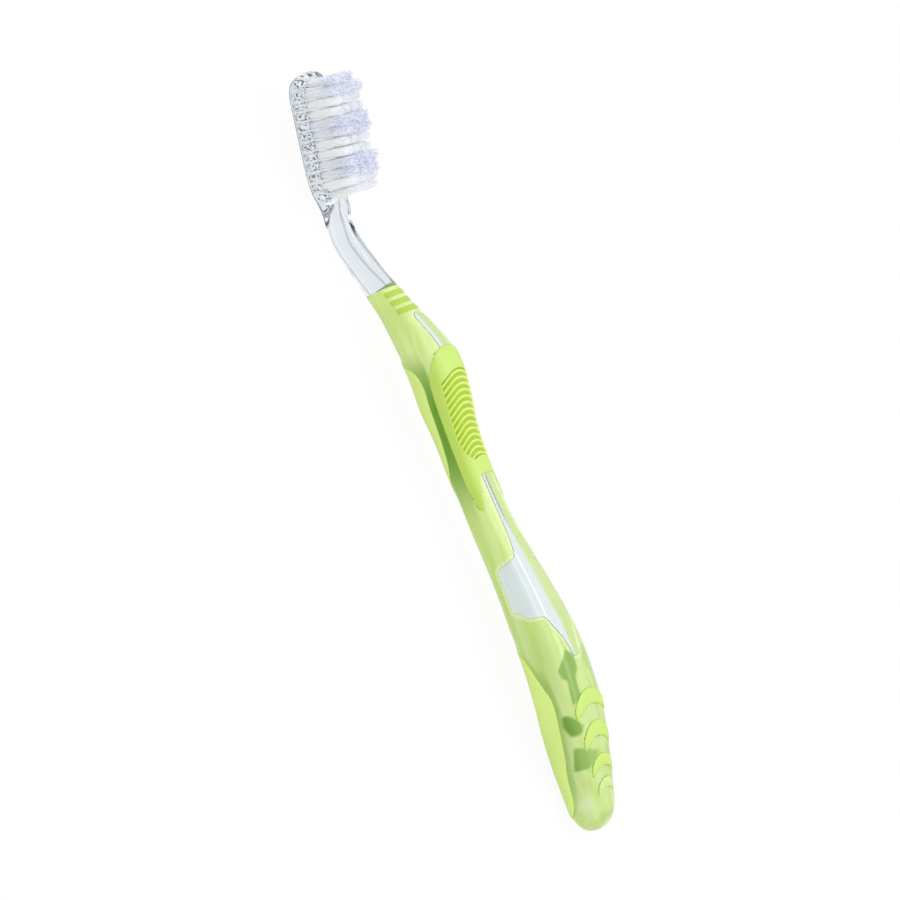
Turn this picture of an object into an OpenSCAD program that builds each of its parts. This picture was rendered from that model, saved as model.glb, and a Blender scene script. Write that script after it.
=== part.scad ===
// Manual toothbrush: a clear core, a green jacket, soft lime grips and nylon tufts.
// It lies on its back on the plane z = 0, bristles up, with its head towards -X.
// Every handle surface is one skin: a squared oval that changes along the length.

/* [Head] */
// Length of the clear head, from its round tip to the neck
head_l = 30; // [29.5:0.5:34]
// Width of the head
head_w = 12; // [11.6:0.1:13.5]
// Thickness of the head
head_t = 5.5; // [5.2:0.1:6.5]
// Height of the tufted face above the rest plane, at the neck end
head_face_z = 6.45; // [5.6:0.05:7]
// Tilt of the tufted face, tip up
head_tilt = 12.9; // [8:0.1:15]

/* [Neck] */
// Length of the clear neck, from the head to the jacket
neck_l = 24; // [21:0.5:28]
// Width of the neck where it is thinnest
neck_w = 5.6; // [5:0.1:6.4]
// Depth of the neck where it is thinnest
neck_t = 6; // [5.4:0.1:6.6]

/* [Handle] */
// Length from the jacket's front edge to the crest of the thumb rest
shoulder_l = 22; // [20:0.5:25]
// Length from the crest of the thumb rest to the waist
thumb_l = 31; // [30:0.5:34]
// Length from the waist to the thickest point of the tail
grip_l = 51; // [49:0.5:56]
// Length from the thickest point of the tail to the end
tail_l = 32; // [30:0.5:36]
// Width at the crest of the thumb rest
crest_w = 11.6; // [11:0.1:13]
// Depth at the crest of the thumb rest, without the soft pads
crest_t = 11.3; // [10.6:0.1:12.6]
// Width at the waist
waist_w = 9.9; // [9.2:0.1:11]
// Depth at the waist
waist_t = 8.9; // [8.2:0.1:10]
// Width at the thickest point of the tail
tail_w = 16.2; // [15:0.1:17]
// Depth at the thickest point of the tail
tail_t = 12.6; // [12:0.1:14]
// Length of the rounded tail end
tail_round = 7; // [6:0.1:8]

/* [Jacket and windows] */
// Wall of the green jacket over the clear core
jacket_wall = 1.5; // [1.35:0.05:1.65]
// Half width of the slit window in the shoulder
slit_half_w = 2; // [1.4:0.1:2.4]
// Depth of the hollow band between the soft pads
hollow_depth = 0.5; // [0.2:0.05:0.6]

/* [Soft pads] */
// Depth of the soft pads below the jacket's surface
pad_depth = 0.7; // [0.55:0.05:0.75]
// Height of the soft pads above the jacket's surface
pad_proud = 0.3; // [0.2:0.05:0.5]
// Distance from one thumb rib to the next
rib_pitch = 1.5; // [1.4:0.05:1.6]
// Number of thumb ribs
rib_count = 14; // [11:1:15]
// Height of a thumb rib above its valley
rib_h = 0.5; // [0.3:0.05:0.7]
// Radius of the thumb ribs, seen from the front
rib_radius = 7; // [6.9:0.1:9]
// Length of a neck rib along the neck
neck_rib_l = 1.2; // [1:0.1:1.3]
// Thickness of the largest crescent at its middle
crescent_l = 3.6; // [3:0.1:4]
// Length of the legs below the crescents
leg_l = 4.6; // [3:0.1:5]

/* [Tail key] */
// Thickness of the key
key_t = 3.6; // [2.5:0.1:4]
// Depth of the key below the front of the tail
key_drop = 2.6; // [2.3:0.1:3]

/* [Tufts] */
// Distance from the tip of the head to the first row, along the face
first_row = 3.2; // [3.1:0.05:3.4]
// Distance from one row of tufts to the next
row_pitch = 2.4; // [2.35:0.01:2.42]
// Distance between the tufts of a row
column_pitch = 2.9; // [2.6:0.05:2.95]
// Diameter of a tuft hole
hole_d = 1.7; // [1.65:0.05:1.8]
// Depth of a tuft hole
hole_depth = 3.6; // [3.2:0.1:4]
// Height of the white tufts above the face
white_h = 9; // [8:0.1:10.5]
// Height of the blue tufts above the face
blue_h = 9.8; // [8.5:0.1:11]
// Thickness of a bundle of filaments, drawn as one strand
strand_d = 0.4; // [0.3:0.02:0.42]
// Depth of the solid root of a tuft below the face
root_drop = 0.6; // [0.4:0.05:0.9]

/* [Hidden] */

// Places along the length, measured from the tip of the head
jacket_x = head_l + neck_l;
crest_x = jacket_x + shoulder_l;
waist_x = crest_x + thumb_l;
tail_x = waist_x + grip_l;
brush_l = tail_x + tail_l;

// Heights of the middle of the section above the rest plane
neck_z = 3;
jacket_z = 6.8;
crest_z = 12.1;
waist_z = 9.8;
grip_z = 11.4;
tail_z = 10.4;
end_z = 4.2;

// Squareness of the section: 2 is an ellipse, more is squarer
head_sq = 4;
neck_sq = 2.3;
crest_sq = 3;
tail_sq = 3.2;
end_sq = 2.4;

// Roundness of the two ends, seen from the front and from the side
end_power = 2.3;
tip_round_w = head_w / 2;
tip_round_t = head_t / 2;

head_slope = tan(head_tilt);
function face_z(x) = head_face_z + (head_l - x) * head_slope;
function head_station(share) =
    let (x = head_l * share) [x, face_z(x) - head_t / 2, head_w / 2, head_t / 2, head_sq];

// Stations of the skin: place, middle height, half width, half depth, squareness
stations = [
    head_station(0),
    head_station(0.5),
    [head_l * 0.72, face_z(head_l * 0.72) - head_t * 0.5, head_w * 0.49, head_t * 0.5, head_sq],
    [head_l * 0.9, face_z(head_l * 0.9) - head_t * 0.49, head_w * 0.44, head_t * 0.49, head_sq * 0.9],
    [head_l, face_z(head_l) - head_t * 0.445, head_w * 0.385, head_t * 0.445, head_sq * 0.73],
    [head_l + neck_l * 0.12, neck_z * 1.24, head_w * 0.285, neck_t * 0.49, neck_sq * 1.3],
    [head_l + neck_l * 0.25, neck_z * 0.98, neck_w * 0.51, neck_t * 0.535, neck_sq],
    [head_l + neck_l * 0.42, neck_z * 0.99, neck_w * 0.555, neck_t * 0.575, neck_sq],
    [head_l + neck_l * 0.6, neck_z * 1.3, neck_w * 0.59, neck_t * 0.59, neck_sq],
    [head_l + neck_l * 0.8, neck_z * 1.75, neck_w * 0.61, neck_t * 0.59, neck_sq],
    [jacket_x, jacket_z, crest_w * 0.32, crest_t * 0.33, neck_sq * 1.04],
    [jacket_x + shoulder_l * 0.25, jacket_z * 1.25, crest_w * 0.35, crest_t * 0.36, crest_sq * 0.84],
    [jacket_x + shoulder_l * 0.5, crest_z * 0.84, crest_w * 0.42, crest_t * 0.43, crest_sq * 0.88],
    [jacket_x + shoulder_l * 0.75, crest_z * 0.95, crest_w * 0.48, crest_t * 0.485, crest_sq * 0.94],
    [crest_x, crest_z, crest_w * 0.5, crest_t * 0.5, crest_sq],
    [crest_x + thumb_l * 0.25, crest_z * 0.93, crest_w * 0.49, crest_t * 0.475, crest_sq],
    [crest_x + thumb_l * 0.5, waist_z * 1.065, waist_w * 0.51, waist_t * 0.5, crest_sq],
    [crest_x + thumb_l * 0.78, waist_z * 1.01, waist_w * 0.485, waist_t * 0.48, crest_sq],
    [waist_x, waist_z, waist_w * 0.49, waist_t * 0.485, crest_sq],
    [waist_x + grip_l * 0.16, waist_z * 1.01, waist_w * 0.51, waist_t * 0.51, crest_sq],
    [waist_x + grip_l * 0.32, grip_z * 0.92, waist_w * 0.565, waist_t * 0.55, crest_sq],
    [waist_x + grip_l * 0.47, grip_z * 0.97, tail_w * 0.39, tail_t * 0.43, crest_sq],
    [waist_x + grip_l * 0.62, grip_z, tail_w * 0.435, tail_t * 0.465, tail_sq],
    [waist_x + grip_l * 0.8, grip_z * 1.015, tail_w * 0.465, tail_t * 0.485, tail_sq],
    [tail_x, tail_z * 1.01, tail_w * 0.49, tail_t * 0.49, tail_sq],
    [tail_x + tail_l * 0.2, tail_z * 0.899, tail_w * 0.49, tail_t * 0.493, tail_sq],
    [tail_x + tail_l * 0.42, tail_z * 0.754, tail_w * 0.465, tail_t * 0.465, tail_sq * 0.95],
    [tail_x + tail_l * 0.64, tail_z * 0.615, tail_w * 0.42, tail_t * 0.425, tail_sq * 0.85],
    [tail_x + tail_l * 0.8, tail_z * 0.508, tail_w * 0.385, tail_t * 0.39, end_sq],
    [brush_l, end_z, tail_w * 0.35, tail_t * 0.35, end_sq]
];
last = len(stations) - 1;

// Slope of each column at each station, from its neighbours
slopes = [for (i = [0:last])
    let (a = stations[max(i - 1, 0)], b = stations[min(i + 1, last)]) (b - a) / (b[0] - a[0])];

// Row of the station table that starts the stretch holding x
function stretch(x, i = 0) = i >= last - 1 || stations[i + 1][0] > x ? i : stretch(x, i + 1);

// A smooth cubic through the stations: [x, middle, half width, half depth, squareness]
function section(x) =
    let (i = stretch(x), h = stations[i + 1][0] - stations[i][0], t = (x - stations[i][0]) / h)
    stations[i] * (2 * t ^ 3 - 3 * t ^ 2 + 1) + slopes[i] * h * (t ^ 3 - 2 * t ^ 2 + t)
    + stations[i + 1] * (3 * t ^ 2 - 2 * t ^ 3) + slopes[i + 1] * h * (t ^ 3 - t ^ 2);

// 0 at an end of the brush, 1 from the end of its rounding on
function round_off(q) = q >= 1 ? 1 : pow(1 - pow(1 - max(q, 0), end_power), 1 / end_power);

// Half width and half depth at x, with the skin moved out by d
function half_w(x, d = 0) = (section(x)[2] + d)
    * round_off((x + d) / (tip_round_w + d)) * round_off((brush_l + d - x) / (tail_round + d));
function half_t(x, d = 0) = (section(x)[3] + d)
    * round_off((x + d) / (tip_round_t + d)) * round_off((brush_l + d - x) / (tail_round + d));
function squared(c, e) = sign(c) * pow(abs(c), e);

// The point of the skin at x and section angle t: 0 is the +Y side, 90 the front, 270 the back
function skin(x, t, d = 0) =
    let (s = section(x), e = 2 / s[4])
    [x, half_w(x, d) * squared(cos(t), e), s[1] + half_t(x, d) * squared(sin(t), e)];

// Section angle of the front at the distance y from the middle plane, and its height there
function angle_at(x, y) = acos(squared(min(max(y / half_w(x), -1), 1), section(x)[4] / 2));
function front_z(x, y, d = 0) = skin(x, angle_at(x, y), d)[2];

// Places from one to another: even ones, and ones that crowd towards a round end
function even(from, to, steps) = [for (i = [0:steps]) from + (to - from) * i / steps];
function from_end(from, to, steps) = [for (i = [0:steps]) from + (to - from) * (1 - cos(90 * i / steps))];
function to_end(from, to, steps) = [for (i = [0:steps]) from + (to - from) * sin(90 * i / steps)];

// Lowest point of the brush, which rests on z = 0
rest_z = min([for (x = even(tip_round_w, brush_l, 180))
    section(x)[1] - half_t(x) - (x > jacket_x ? pad_proud : 0)]);
module in_place() {
    translate([-brush_l / 2, 0, -rest_z]) children();
}

// A closed loft through the rings at the places xs, each moved out by its distance in ds
module loft(xs, ds, sides) {
    rings = len(xs);
    points = [for (i = [0:rings - 1], j = [0:sides - 1]) skin(xs[i], 360 * j / sides, ds[i])];
    walls = [for (i = [0:rings - 2], j = [0:sides - 1])
        let (a = i * sides + j, b = i * sides + (j + 1) % sides)
        each [[a, b + sides, b], [a, a + sides, b + sides]]];
    ends = [[for (j = [0:sides - 1]) j], [for (j = [sides - 1:-1:0]) (rings - 1) * sides + j]];
    polyhedron(points, concat(walls, ends));
}

// A pad: a grid of points on top, a grid below and walls between. rows and cols count the steps
// of the top grid, along the brush and across it. The grid below has only the rows named in lows.
// With a belt the walls bend at the belt's points, so that a pad and its seat have the same walls.
module pad(top, bottom, rows, cols, lows = undef, belt = undef) {
    n = cols + 1;
    under = (rows + 1) * n;
    low = is_undef(lows) ? [for (i = [0:rows]) i] : lows;
    low_rows = len(low) - 1;
    belted = !is_undef(belt);
    loop = under + len(low) * n;
    points = concat(
        [for (i = [0:rows], j = [0:cols]) top(i, j)],
        [for (i = low, j = [0:cols]) bottom(i, j)],
        !belted ? [] : [for (i = low, j = [0, cols]) belt(i, j)],
        !belted ? [] : [for (i = [0, rows], j = [1:cols - 1]) belt(i, j)]);
    // Point of the belt, or of the grid below, at the low row k and the column j on the rim
    function rim(k, j) =
        !belted ? under + k * n + j
        : j == 0 || j == cols ? loop + 2 * k + (j > 0 ? 1 : 0)
        : loop + 2 * len(low) + (k > 0 ? cols - 1 : 0) + j - 1;
    tops = [for (i = [0:rows - 1], j = [0:cols - 1])
        let (a = i * n + j) each [[a, a + n + 1, a + 1], [a, a + n, a + n + 1]]];
    bottoms = [for (i = [0:low_rows - 1], j = [0:cols - 1])
        let (a = under + i * n + j) each [[a, a + 1, a + n + 1], [a, a + n + 1, a + n]]];
    sides = [for (k = [0:low_rows - 1])
        let (p = rim(k, 0), q = rim(k + 1, 0), u = rim(k, cols), v = rim(k + 1, cols), t = low[k + 1] * n)
        each concat(
            [for (m = [low[k]:low[k + 1] - 1]) [m * n, p, (m + 1) * n]],
            [[t, p, q]],
            [for (m = [low[k]:low[k + 1] - 1]) [m * n + cols, (m + 1) * n + cols, u]],
            [[t + cols, v, u]])];
    z = rows * n;
    w = under + low_rows * n;
    ends = [for (j = [0:cols - 1])
        let (a = rim(0, j), b = rim(0, j + 1), c = rim(low_rows, j), d = rim(low_rows, j + 1))
        each [[j, b, a], [j, j + 1, b], [z + j, c, d], [z + j, d, z + j + 1]]];
    low_sides = !belted ? [] : [for (k = [0:low_rows - 1])
        let (p = rim(k, 0), q = rim(k + 1, 0), u = rim(k, cols), v = rim(k + 1, cols),
            a = under + k * n, b = a + cols)
        each [[p, a, q], [q, a, a + n], [u, v, b], [v, b + n, b]]];
    low_ends = !belted ? [] : [for (j = [0:cols - 1])
        let (a = rim(0, j), b = rim(0, j + 1), c = rim(low_rows, j), d = rim(low_rows, j + 1))
        each [[a, under + j + 1, under + j], [a, b, under + j + 1], [c, w + j, w + j + 1], [c, w + j + 1, d]]];
    polyhedron(points, concat(tops, bottoms, sides, ends, low_sides, low_ends));
}

// Rings of the outer skin and of the core. The first and last stand just inside the round ends.
end_share = 0.01;
tail_start = brush_l - tail_round;
core_end = brush_l - jacket_wall;
head_rings = concat(
    from_end(tip_round_t * end_share, head_l * 0.25, 6),
    even(head_l * 0.45, head_l * 0.9, 2),
    even(head_l * 0.95, jacket_x, 11));
handle_rings = concat(
    even(jacket_x, tail_start, 20),
    to_end(tail_start + tail_round * 0.2, brush_l - tail_round * end_share, 5));
core_rings = concat(
    even(jacket_x, tail_start, 15),
    to_end(tail_start + tail_round * 0.2, core_end - tail_round * end_share, 4));
outer_sides = 24;
core_sides = 16;

// Outside of the handle, from the jacket's front edge to the tail end
module handle_skin() {
    loft(handle_rings, [for (x = handle_rings) 0], outer_sides);
}

// Height of the belt of a soft pad above the skin
belt_d = pad_proud / 3;

// The thumb pad. Its edge runs at a steady section angle and its ends are rounded.
thumb_edge = 5;
thumb_nose_x = crest_x - shoulder_l * 0.18;
rib_x = crest_x + rib_pitch * 0.57;
rib_end_x = rib_x + rib_count * rib_pitch;
thumb_tail_x = rib_end_x + thumb_l * 0.15;
tongue_l = thumb_l * 0.26;
nose_run = shoulder_l * 0.32;
// Shares of the nose's run and of the tongues' length at section angles
nose_shares = [[5, 1], [12, 0.72], [20, 0.52], [29, 0.37], [40, 0.25], [54, 0.13], [72, 0.04], [90, 0]];
tongue_shares = [[5, 0.19], [12, 0.86], [20, 1], [29, 0.95], [40, 0.74], [54, 0.27], [72, 0.02], [90, 0]];
half_angles = [for (s = nose_shares) s[0]];
thumb_angles = concat(half_angles, [for (i = [len(half_angles) - 2:-1:0]) 180 - half_angles[i]]);
// A rib between its valleys, as shares of its height at the steps of its pitch
rib_shares = [0, 0.9, 0.9];
rib_steps = len(rib_shares);
// Angle to which the last ribs reach down from the front, the last one first
short_reaches = [18, 35, 48];
rib_reach = 58;

function front_angle(t) = t > 90 ? 180 - t : t;
function rib_sag(t) =
    let (y = crest_w / 2 * squared(abs(cos(t)), 2 / crest_sq)) rib_radius - sqrt(rib_radius ^ 2 - y ^ 2);
function thumb_x(i, t) =
    let (a = front_angle(t), k = (i - rib_steps) / rib_steps)
    k < 0 ? let (nose = thumb_nose_x + nose_run * lookup(a, nose_shares))
            nose + (rib_x + rib_sag(t) - nose) * (k + 1)
    : k <= rib_count ? rib_x + k * rib_pitch + rib_sag(t)
    : let (from = rib_end_x + rib_sag(t), to = thumb_tail_x + tongue_l * lookup(a, tongue_shares))
      from + (to - from) * (k - rib_count);
function reach(k) = k >= rib_count - len(short_reaches) ? short_reaches[rib_count - 1 - k] : rib_reach;
function thumb_d(i, t) =
    let (k = floor((i - rib_steps) / rib_steps), m = (i - rib_steps) % rib_steps)
    k < 0 || k >= rib_count || abs(90 - t) > reach(k) ? pad_proud
    : pad_proud * 0.35 + rib_h * rib_shares[m];

// Depth to which a window reaches down, into the core under the jacket
window_depth = jacket_wall * 1.7;

// The slit window in the front of the shoulder: half widths as shares along its length
slit_x = jacket_x + shoulder_l * 0.35;
slit_shares = [[0, 0.35], [0.03, 0.75], [0.1, 1], [1, 1]];
module slit_window(out) {
    xs = concat(even(slit_x, slit_x + neck_rib_l, 3), even(slit_x + slit_half_w, thumb_nose_x + pad_depth, 6));
    span = xs[len(xs) - 1] - slit_x;
    function half_angle(x) = 90 - angle_at(x, slit_half_w * lookup((x - slit_x) / span, slit_shares));
    sides = 4;
    pad(function(i, j) skin(xs[i], 90 + half_angle(xs[i]) * (2 * j / sides - 1), out),
        function(i, j) skin(xs[i], 90 + half_angle(xs[i]) * (2 * j / sides - 1), -window_depth),
        len(xs) - 1, sides);
}

// The long window: a strip in the front that drops down both sides as a broad panel.
// Its half angle from the front is given in shares of a right angle.
window_x = thumb_tail_x - pad_depth / 2;
window_end_x = waist_x + grip_l * 0.85;
window_shares = [
    [0, 0.15], [0.1, 0.15], [0.22, 0.16], [0.345, 0.22], [0.443, 0.39], [0.458, 0.67], [0.472, 0.97], [0.5, 1.04],
    [0.59, 1.05], [0.68, 1.055], [0.72, 0.95], [0.752, 0.82], [0.76, 0.555], [0.77, 0.38],
    [0.83, 0.23], [0.9, 0.1], [1, 0.03]];
module long_window(out) {
    xs = [for (s = window_shares) window_x + (window_end_x - window_x) * s[0]];
    sides = 8;
    pad(function(i, j) skin(xs[i], 90 + 90 * window_shares[i][1] * (2 * j / sides - 1), out),
        function(i, j) skin(xs[i], 90 + 90 * window_shares[i][1] * (2 * j / sides - 1), -window_depth),
        len(xs) - 1, sides);
}

// What the clear windows cut from the jacket
module windows() {
    slit_window(jacket_wall);
    long_window(jacket_wall);
}

// The core without its windows: head, neck and the spine inside the jacket
module core_loft() {
    loft(concat(head_rings, core_rings),
        concat([for (x = head_rings) 0], [for (x = core_rings) -jacket_wall]), core_sides);
}

// The spine of the core, reaching out in front of the jacket
module spine() {
    loft(concat([jacket_x - neck_rib_l], core_rings),
        concat([-jacket_wall], [for (x = core_rings) -jacket_wall]), core_sides);
}

function thumb_point(i, j, d) = skin(thumb_x(i, thumb_angles[j]), thumb_angles[j], d);
thumb_cols = len(thumb_angles) - 1;
// Steps of the pad that its underside follows: the nose, every third rib and the tail
thumb_lows = rib_steps * concat([0], [for (k = [1:3:rib_count]) k], [rib_count + 1, rib_count + 2]);
module thumb_grip() {
    color("greenyellow") pad(
        function(i, j) thumb_point(i, j, thumb_d(i, thumb_angles[j])),
        function(i, j) thumb_point(i, j, -pad_depth),
        rib_steps * (rib_count + 2), thumb_cols, thumb_lows, function(i, j) thumb_point(i, j, belt_d));
}

// The thumb pad's seat: the same outline with a plain top
module thumb_seat() {
    pad(function(i, j) thumb_point(thumb_lows[i], j, jacket_wall),
        function(i, j) thumb_point(thumb_lows[i], j, -pad_depth),
        len(thumb_lows) - 1, thumb_cols, undef, function(i, j) thumb_point(thumb_lows[i], j, belt_d));
}

// The back strip: places, and the angle from the side at which its edge runs there
back_edges = [
    [crest_x - shoulder_l * 0.27, 82], [crest_x - shoulder_l * 0.23, 70],
    [crest_x - shoulder_l * 0.15, 50], [crest_x - shoulder_l * 0.08, 22],
    [crest_x, 11], [crest_x + thumb_l * 0.06, 6.5], [crest_x + thumb_l * 0.14, 4.5],
    [crest_x + thumb_l * 0.29, 6], [crest_x + thumb_l * 0.47, 9], [crest_x + thumb_l * 0.68, 17],
    [crest_x + thumb_l * 0.78, 32], [crest_x + thumb_l * 0.85, 52], [crest_x + thumb_l * 0.97, 68],
    [waist_x + grip_l * 0.1, 72], [waist_x + grip_l * 0.25, 72], [waist_x + grip_l * 0.4, 72],
    [waist_x + grip_l * 0.55, 72], [waist_x + grip_l * 0.67, 66], [waist_x + grip_l * 0.73, 56],
    [waist_x + grip_l * 0.78, 27], [waist_x + grip_l * 0.86, 10.7], [waist_x + grip_l * 0.94, 2],
    [tail_x + tail_l * 0.08, -2], [tail_x + tail_l * 0.256, -1], [tail_x + tail_l * 0.44, 0.5],
    [tail_x + tail_l * 0.62, 4.5], [tail_x + tail_l * 0.72, 6.5], [tail_x + tail_l * 0.79, 13],
    [tail_x + tail_l * 0.835, 30], [tail_x + tail_l * 0.86, 60]];

module back_pad(out) {
    sides = 6;
    function angle(i, j) = let (e = back_edges[i][1]) 180 + e + (180 - 2 * e) * j / sides;
    pad(function(i, j) skin(back_edges[i][0], angle(i, j), out),
        function(i, j) skin(back_edges[i][0], angle(i, j), -pad_depth),
        len(back_edges) - 1, sides, undef, function(i, j) skin(back_edges[i][0], angle(i, j), belt_d));
}
module back_grip() {
    color("greenyellow") back_pad(pad_proud);
}

// The hollow band in the jacket's side, between the thumb pad and the back strip
hollow_steps = 8;
module side_hollow() {
    xs = even(crest_x + thumb_l * 0.03, crest_x + thumb_l * 0.82, hollow_steps);
    sides = 4;
    function edge(x) = -lookup(x, back_edges);
    function angle(i, j) = edge(xs[i]) * 0.8 + (thumb_edge - edge(xs[i])) * 0.9 * j / sides;
    function depth(i, j) = hollow_depth * (1.5 * sin(180 * j / sides) * sin(180 * i / hollow_steps) - 0.5);
    pad(function(i, j) skin(xs[i], angle(i, j), jacket_wall),
        function(i, j) skin(xs[i], angle(i, j), -depth(i, j)), len(xs) - 1, sides);
}

// Small soft cross ribs behind the jacket's front edge
neck_rib_places = [for (k = [0:2]) jacket_x + neck_rib_l + shoulder_l * 0.105 * k];
neck_rib_angle = 62;
module neck_pads(rim, crown) {
    steps = [0, 0.25, 0.75, 1];
    sides = 8;
    function angle(j) = 90 + neck_rib_angle * (2 * j / sides - 1);
    function inner(i, j) = i > 0 && i < 3 && j > 0 && j < sides;
    for (x = neck_rib_places) {
        pad(function(i, j) skin(x + neck_rib_l * steps[i], angle(j), inner(i, j) ? crown : rim),
            function(i, j) skin(x + neck_rib_l * steps[i], angle(j), -pad_depth),
            3, sides, [0, 3], function(i, j) skin(x + neck_rib_l * steps[i], angle(j), belt_d));
    }
}
module neck_ribs() {
    color("greenyellow") neck_pads(pad_proud * 0.4, pad_proud * 0.7);
}

// The crescents on the front of the tail: where the first edge starts, half span across,
// thickness at the middle and sweep back of the horns, in shares of the tail's sizes
crescent_shares = [
    [0.012, 0.385, 1, 1.42], [0.25, 0.335, 0.97, 1.36], [0.49, 0.27, 0.74, 1.02], [0.67, 0.17, 0.45, 0.6]];
crescents = [1:len(crescent_shares)];
crescent_steps = [0, 0.15, 0.85, 1];
crescent_sides = 12;
horn_share = 0.985;

leg_sides = 6;
leg_part = 0.66;

// Where the crescent k lies: r from its first edge to its last, v from horn to horn
function horn_v(j, sides, part) = part * sin(90 * (1 - 2 * j / sides));
function crescent_x(k, r, v) =
    let (s = crescent_shares[k - 1])
    tail_x + tail_l * s[0]
        + crescent_l * (s[3] * (1 - sqrt(1 - v ^ 2)) * (1 - r) + s[2] * (1.03 + 0.73 * v ^ 2) * r);
function crescent_y(k, v) = tail_w * crescent_shares[k - 1][1] * v;

module tail_cap(k, rim, crown) {
    function v(j) = horn_v(j, crescent_sides, horn_share);
    function inner(i, j) = i > 0 && i < 3 && j > 0 && j < crescent_sides;
    function point(i, j, d) =
        let (x = crescent_x(k, crescent_steps[i], v(j))) skin(x, angle_at(x, crescent_y(k, v(j))), d);
    pad(function(i, j) point(i, j, inner(i, j) ? crown : rim),
        function(i, j) point(i, j, -pad_depth), 3, crescent_sides, [0, 3], function(i, j) point(i, j, belt_d));
}

// The leg under a crescent, straight down into the key
module tail_leg(k) {
    function point(i, j, drop) =
        let (v = horn_v(j, leg_sides, leg_part), x = crescent_x(k, 0.25 + 0.45 * i, v), y = crescent_y(k, v))
        [x, y, front_z(x, y) - drop];
    pad(function(i, j) point(i, j, pad_depth / 2), function(i, j) point(i, j, leg_l), 1, leg_sides);
}

module tail_grip(k) {
    color("greenyellow") union() {
        tail_cap(k, pad_proud * 0.4, pad_proud * 1.5);
        tail_leg(k);
    }
}

// The key inside the tail: half widths along it, in shares of the tail's length and width
key_x = waist_x + grip_l * 0.8;
key_end_x = tail_x + tail_l * 0.74;
key_shares = [
    [0, 0.02], [0.045, 0.13], [0.1, 0.22], [0.145, 0.26], [0.18, 0.235], [0.205, 0.16],
    [0.225, 0.095], [0.31, 0.09], [0.335, 0.22], [0.36, 0.28], [0.54, 0.3], [0.74, 0.26],
    [0.89, 0.19], [0.975, 0.11], [1, 0.03]];
module key_blank() {
    xs = [for (s = key_shares) key_x + (key_end_x - key_x) * s[0]];
    function point(i, j, drop) =
        [xs[i], tail_w * key_shares[i][1] * (1 - j), front_z(xs[i], 0) - drop];
    pad(function(i, j) point(i, j, key_drop), function(i, j) point(i, j, key_drop + key_t), len(xs) - 1, 2);
}
module tail_key() {
    color("olivedrab") resize([key_end_x - key_x, 0, 0]) difference() {
        key_blank();
        for (k = crescents) tail_leg(k);
    }
}

module green_jacket() {
    color("yellowgreen") resize([brush_l - jacket_x - tail_round * end_share, 0, 0]) difference() {
        handle_skin();
        spine();
        windows();
        thumb_seat();
        back_pad(jacket_wall);
        neck_pads(pad_depth, pad_depth);
        for (k = crescents) {
            tail_cap(k, pad_depth, pad_depth);
            tail_leg(k);
        }
        side_hollow();
        mirror([0, 1, 0]) side_hollow();
    }
}

// Places on the tufted face: s along it from its tip end, y across it, z up out of it
module on_face(s, y) {
    translate([s * cos(head_tilt), y, face_z(0) - s * sin(head_tilt)]) rotate([0, head_tilt, 0]) children();
}
function row_s(k) = first_row / cos(head_tilt) + (k - 1) * row_pitch;
// Columns of a row in column pitches: three in the end rows, four in the others
function columns(k) = k == 1 || k == 12 ? [-1, 0, 1] : [-1.5, -0.5, 0.5, 1.5];
function is_blue(k) = (k - 1) % 4 < 2;

module tuft_holes() {
    for (k = [1:12], c = columns(k)) {
        on_face(row_s(k), c * column_pitch) translate([0, 0, -hole_depth])
            cylinder(d = hole_d, h = hole_depth * 1.4, $fn = 24);
    }
}

module handle_core() {
    color("aliceblue") difference() {
        resize([core_end - tail_round * end_share - tip_round_t * end_share, 0, 0]) difference() {
            union() {
                core_loft();
                intersection() {
                    handle_skin();
                    windows();
                }
            }
            thumb_seat();
            key_blank();
            for (k = crescents) tail_leg(k);
        }
        tuft_holes();
    }
}

// One strand: corners on the rings that stand at the heights hs, pushed aside by the shifts
module strand(hs, shifts, corners) {
    rings = len(hs);
    points = [for (i = [0:rings - 1], j = [0:corners - 1]) let (a = 360 * j / corners)
        [shifts[i][0] + strand_d / 2 * cos(a), shifts[i][1] + strand_d / 2 * sin(a), hs[i]]];
    walls = [for (i = [0:rings - 2], j = [0:corners - 1])
        let (a = i * corners + j, b = i * corners + (j + 1) % corners)
        each [[a, a + corners, b], [b, a + corners, b + corners]]];
    ends = [[for (j = [0:corners - 1]) j], [for (j = [corners - 1:-1:0]) (rings - 1) * corners + j]];
    polyhedron(points, concat(walls, ends));
}

// A tuft: a solid root in its hole, with a middle strand and a ring of strands fused to it
fit_gap = 0.02;
ring_count = 8;
ring_r = hole_d / 2 - strand_d / 2 - fit_gap;
anchor_h = 1.2;
anchor_t = 0.25;
white_splay = 1.12;
blue_splay = 1.4;
crimp = 0.14;
crimp_shares = [0, 1, -1, 0.6];

module tuft(blue, lift) {
    h = (blue ? blue_h : white_h) + lift;
    splay = blue ? blue_splay : white_splay;
    root_h = hole_depth - anchor_h - root_drop;
    translate([0, 0, -root_drop - root_h]) cylinder(r = hole_d / 2 - fit_gap, h = root_h, $fn = 24);
    foot = -root_drop - strand_d;
    steps = blue ? len(crimp_shares) - 1 : 1;
    hs = [for (i = [0:steps]) foot + (h - foot) * i / steps];
    for (n = [0:ring_count]) {
        a = 360 * n / ring_count;
        r = n == ring_count ? 0 : ring_r;
        spread = [for (i = [0:steps]) 1 + (splay - 1) * i / steps];
        shifts = [for (i = [0:steps])
            [r * spread[i] * cos(a) + (blue ? crimp * crimp_shares[i] : 0), r * spread[i] * sin(a)]];
        strand(hs, shifts, blue ? 3 : 4);
    }
}

// Heights of the tufts of a row above the common height, so that the tips look ragged. The first
// row is cut shorter.
lift_share = 0.03;
first_row_share = 0.1;
function lift(k, c) = blue_h * (lift_share * sin(140 * k + 90 * c) - (k == 1 ? first_row_share : 0));

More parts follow.
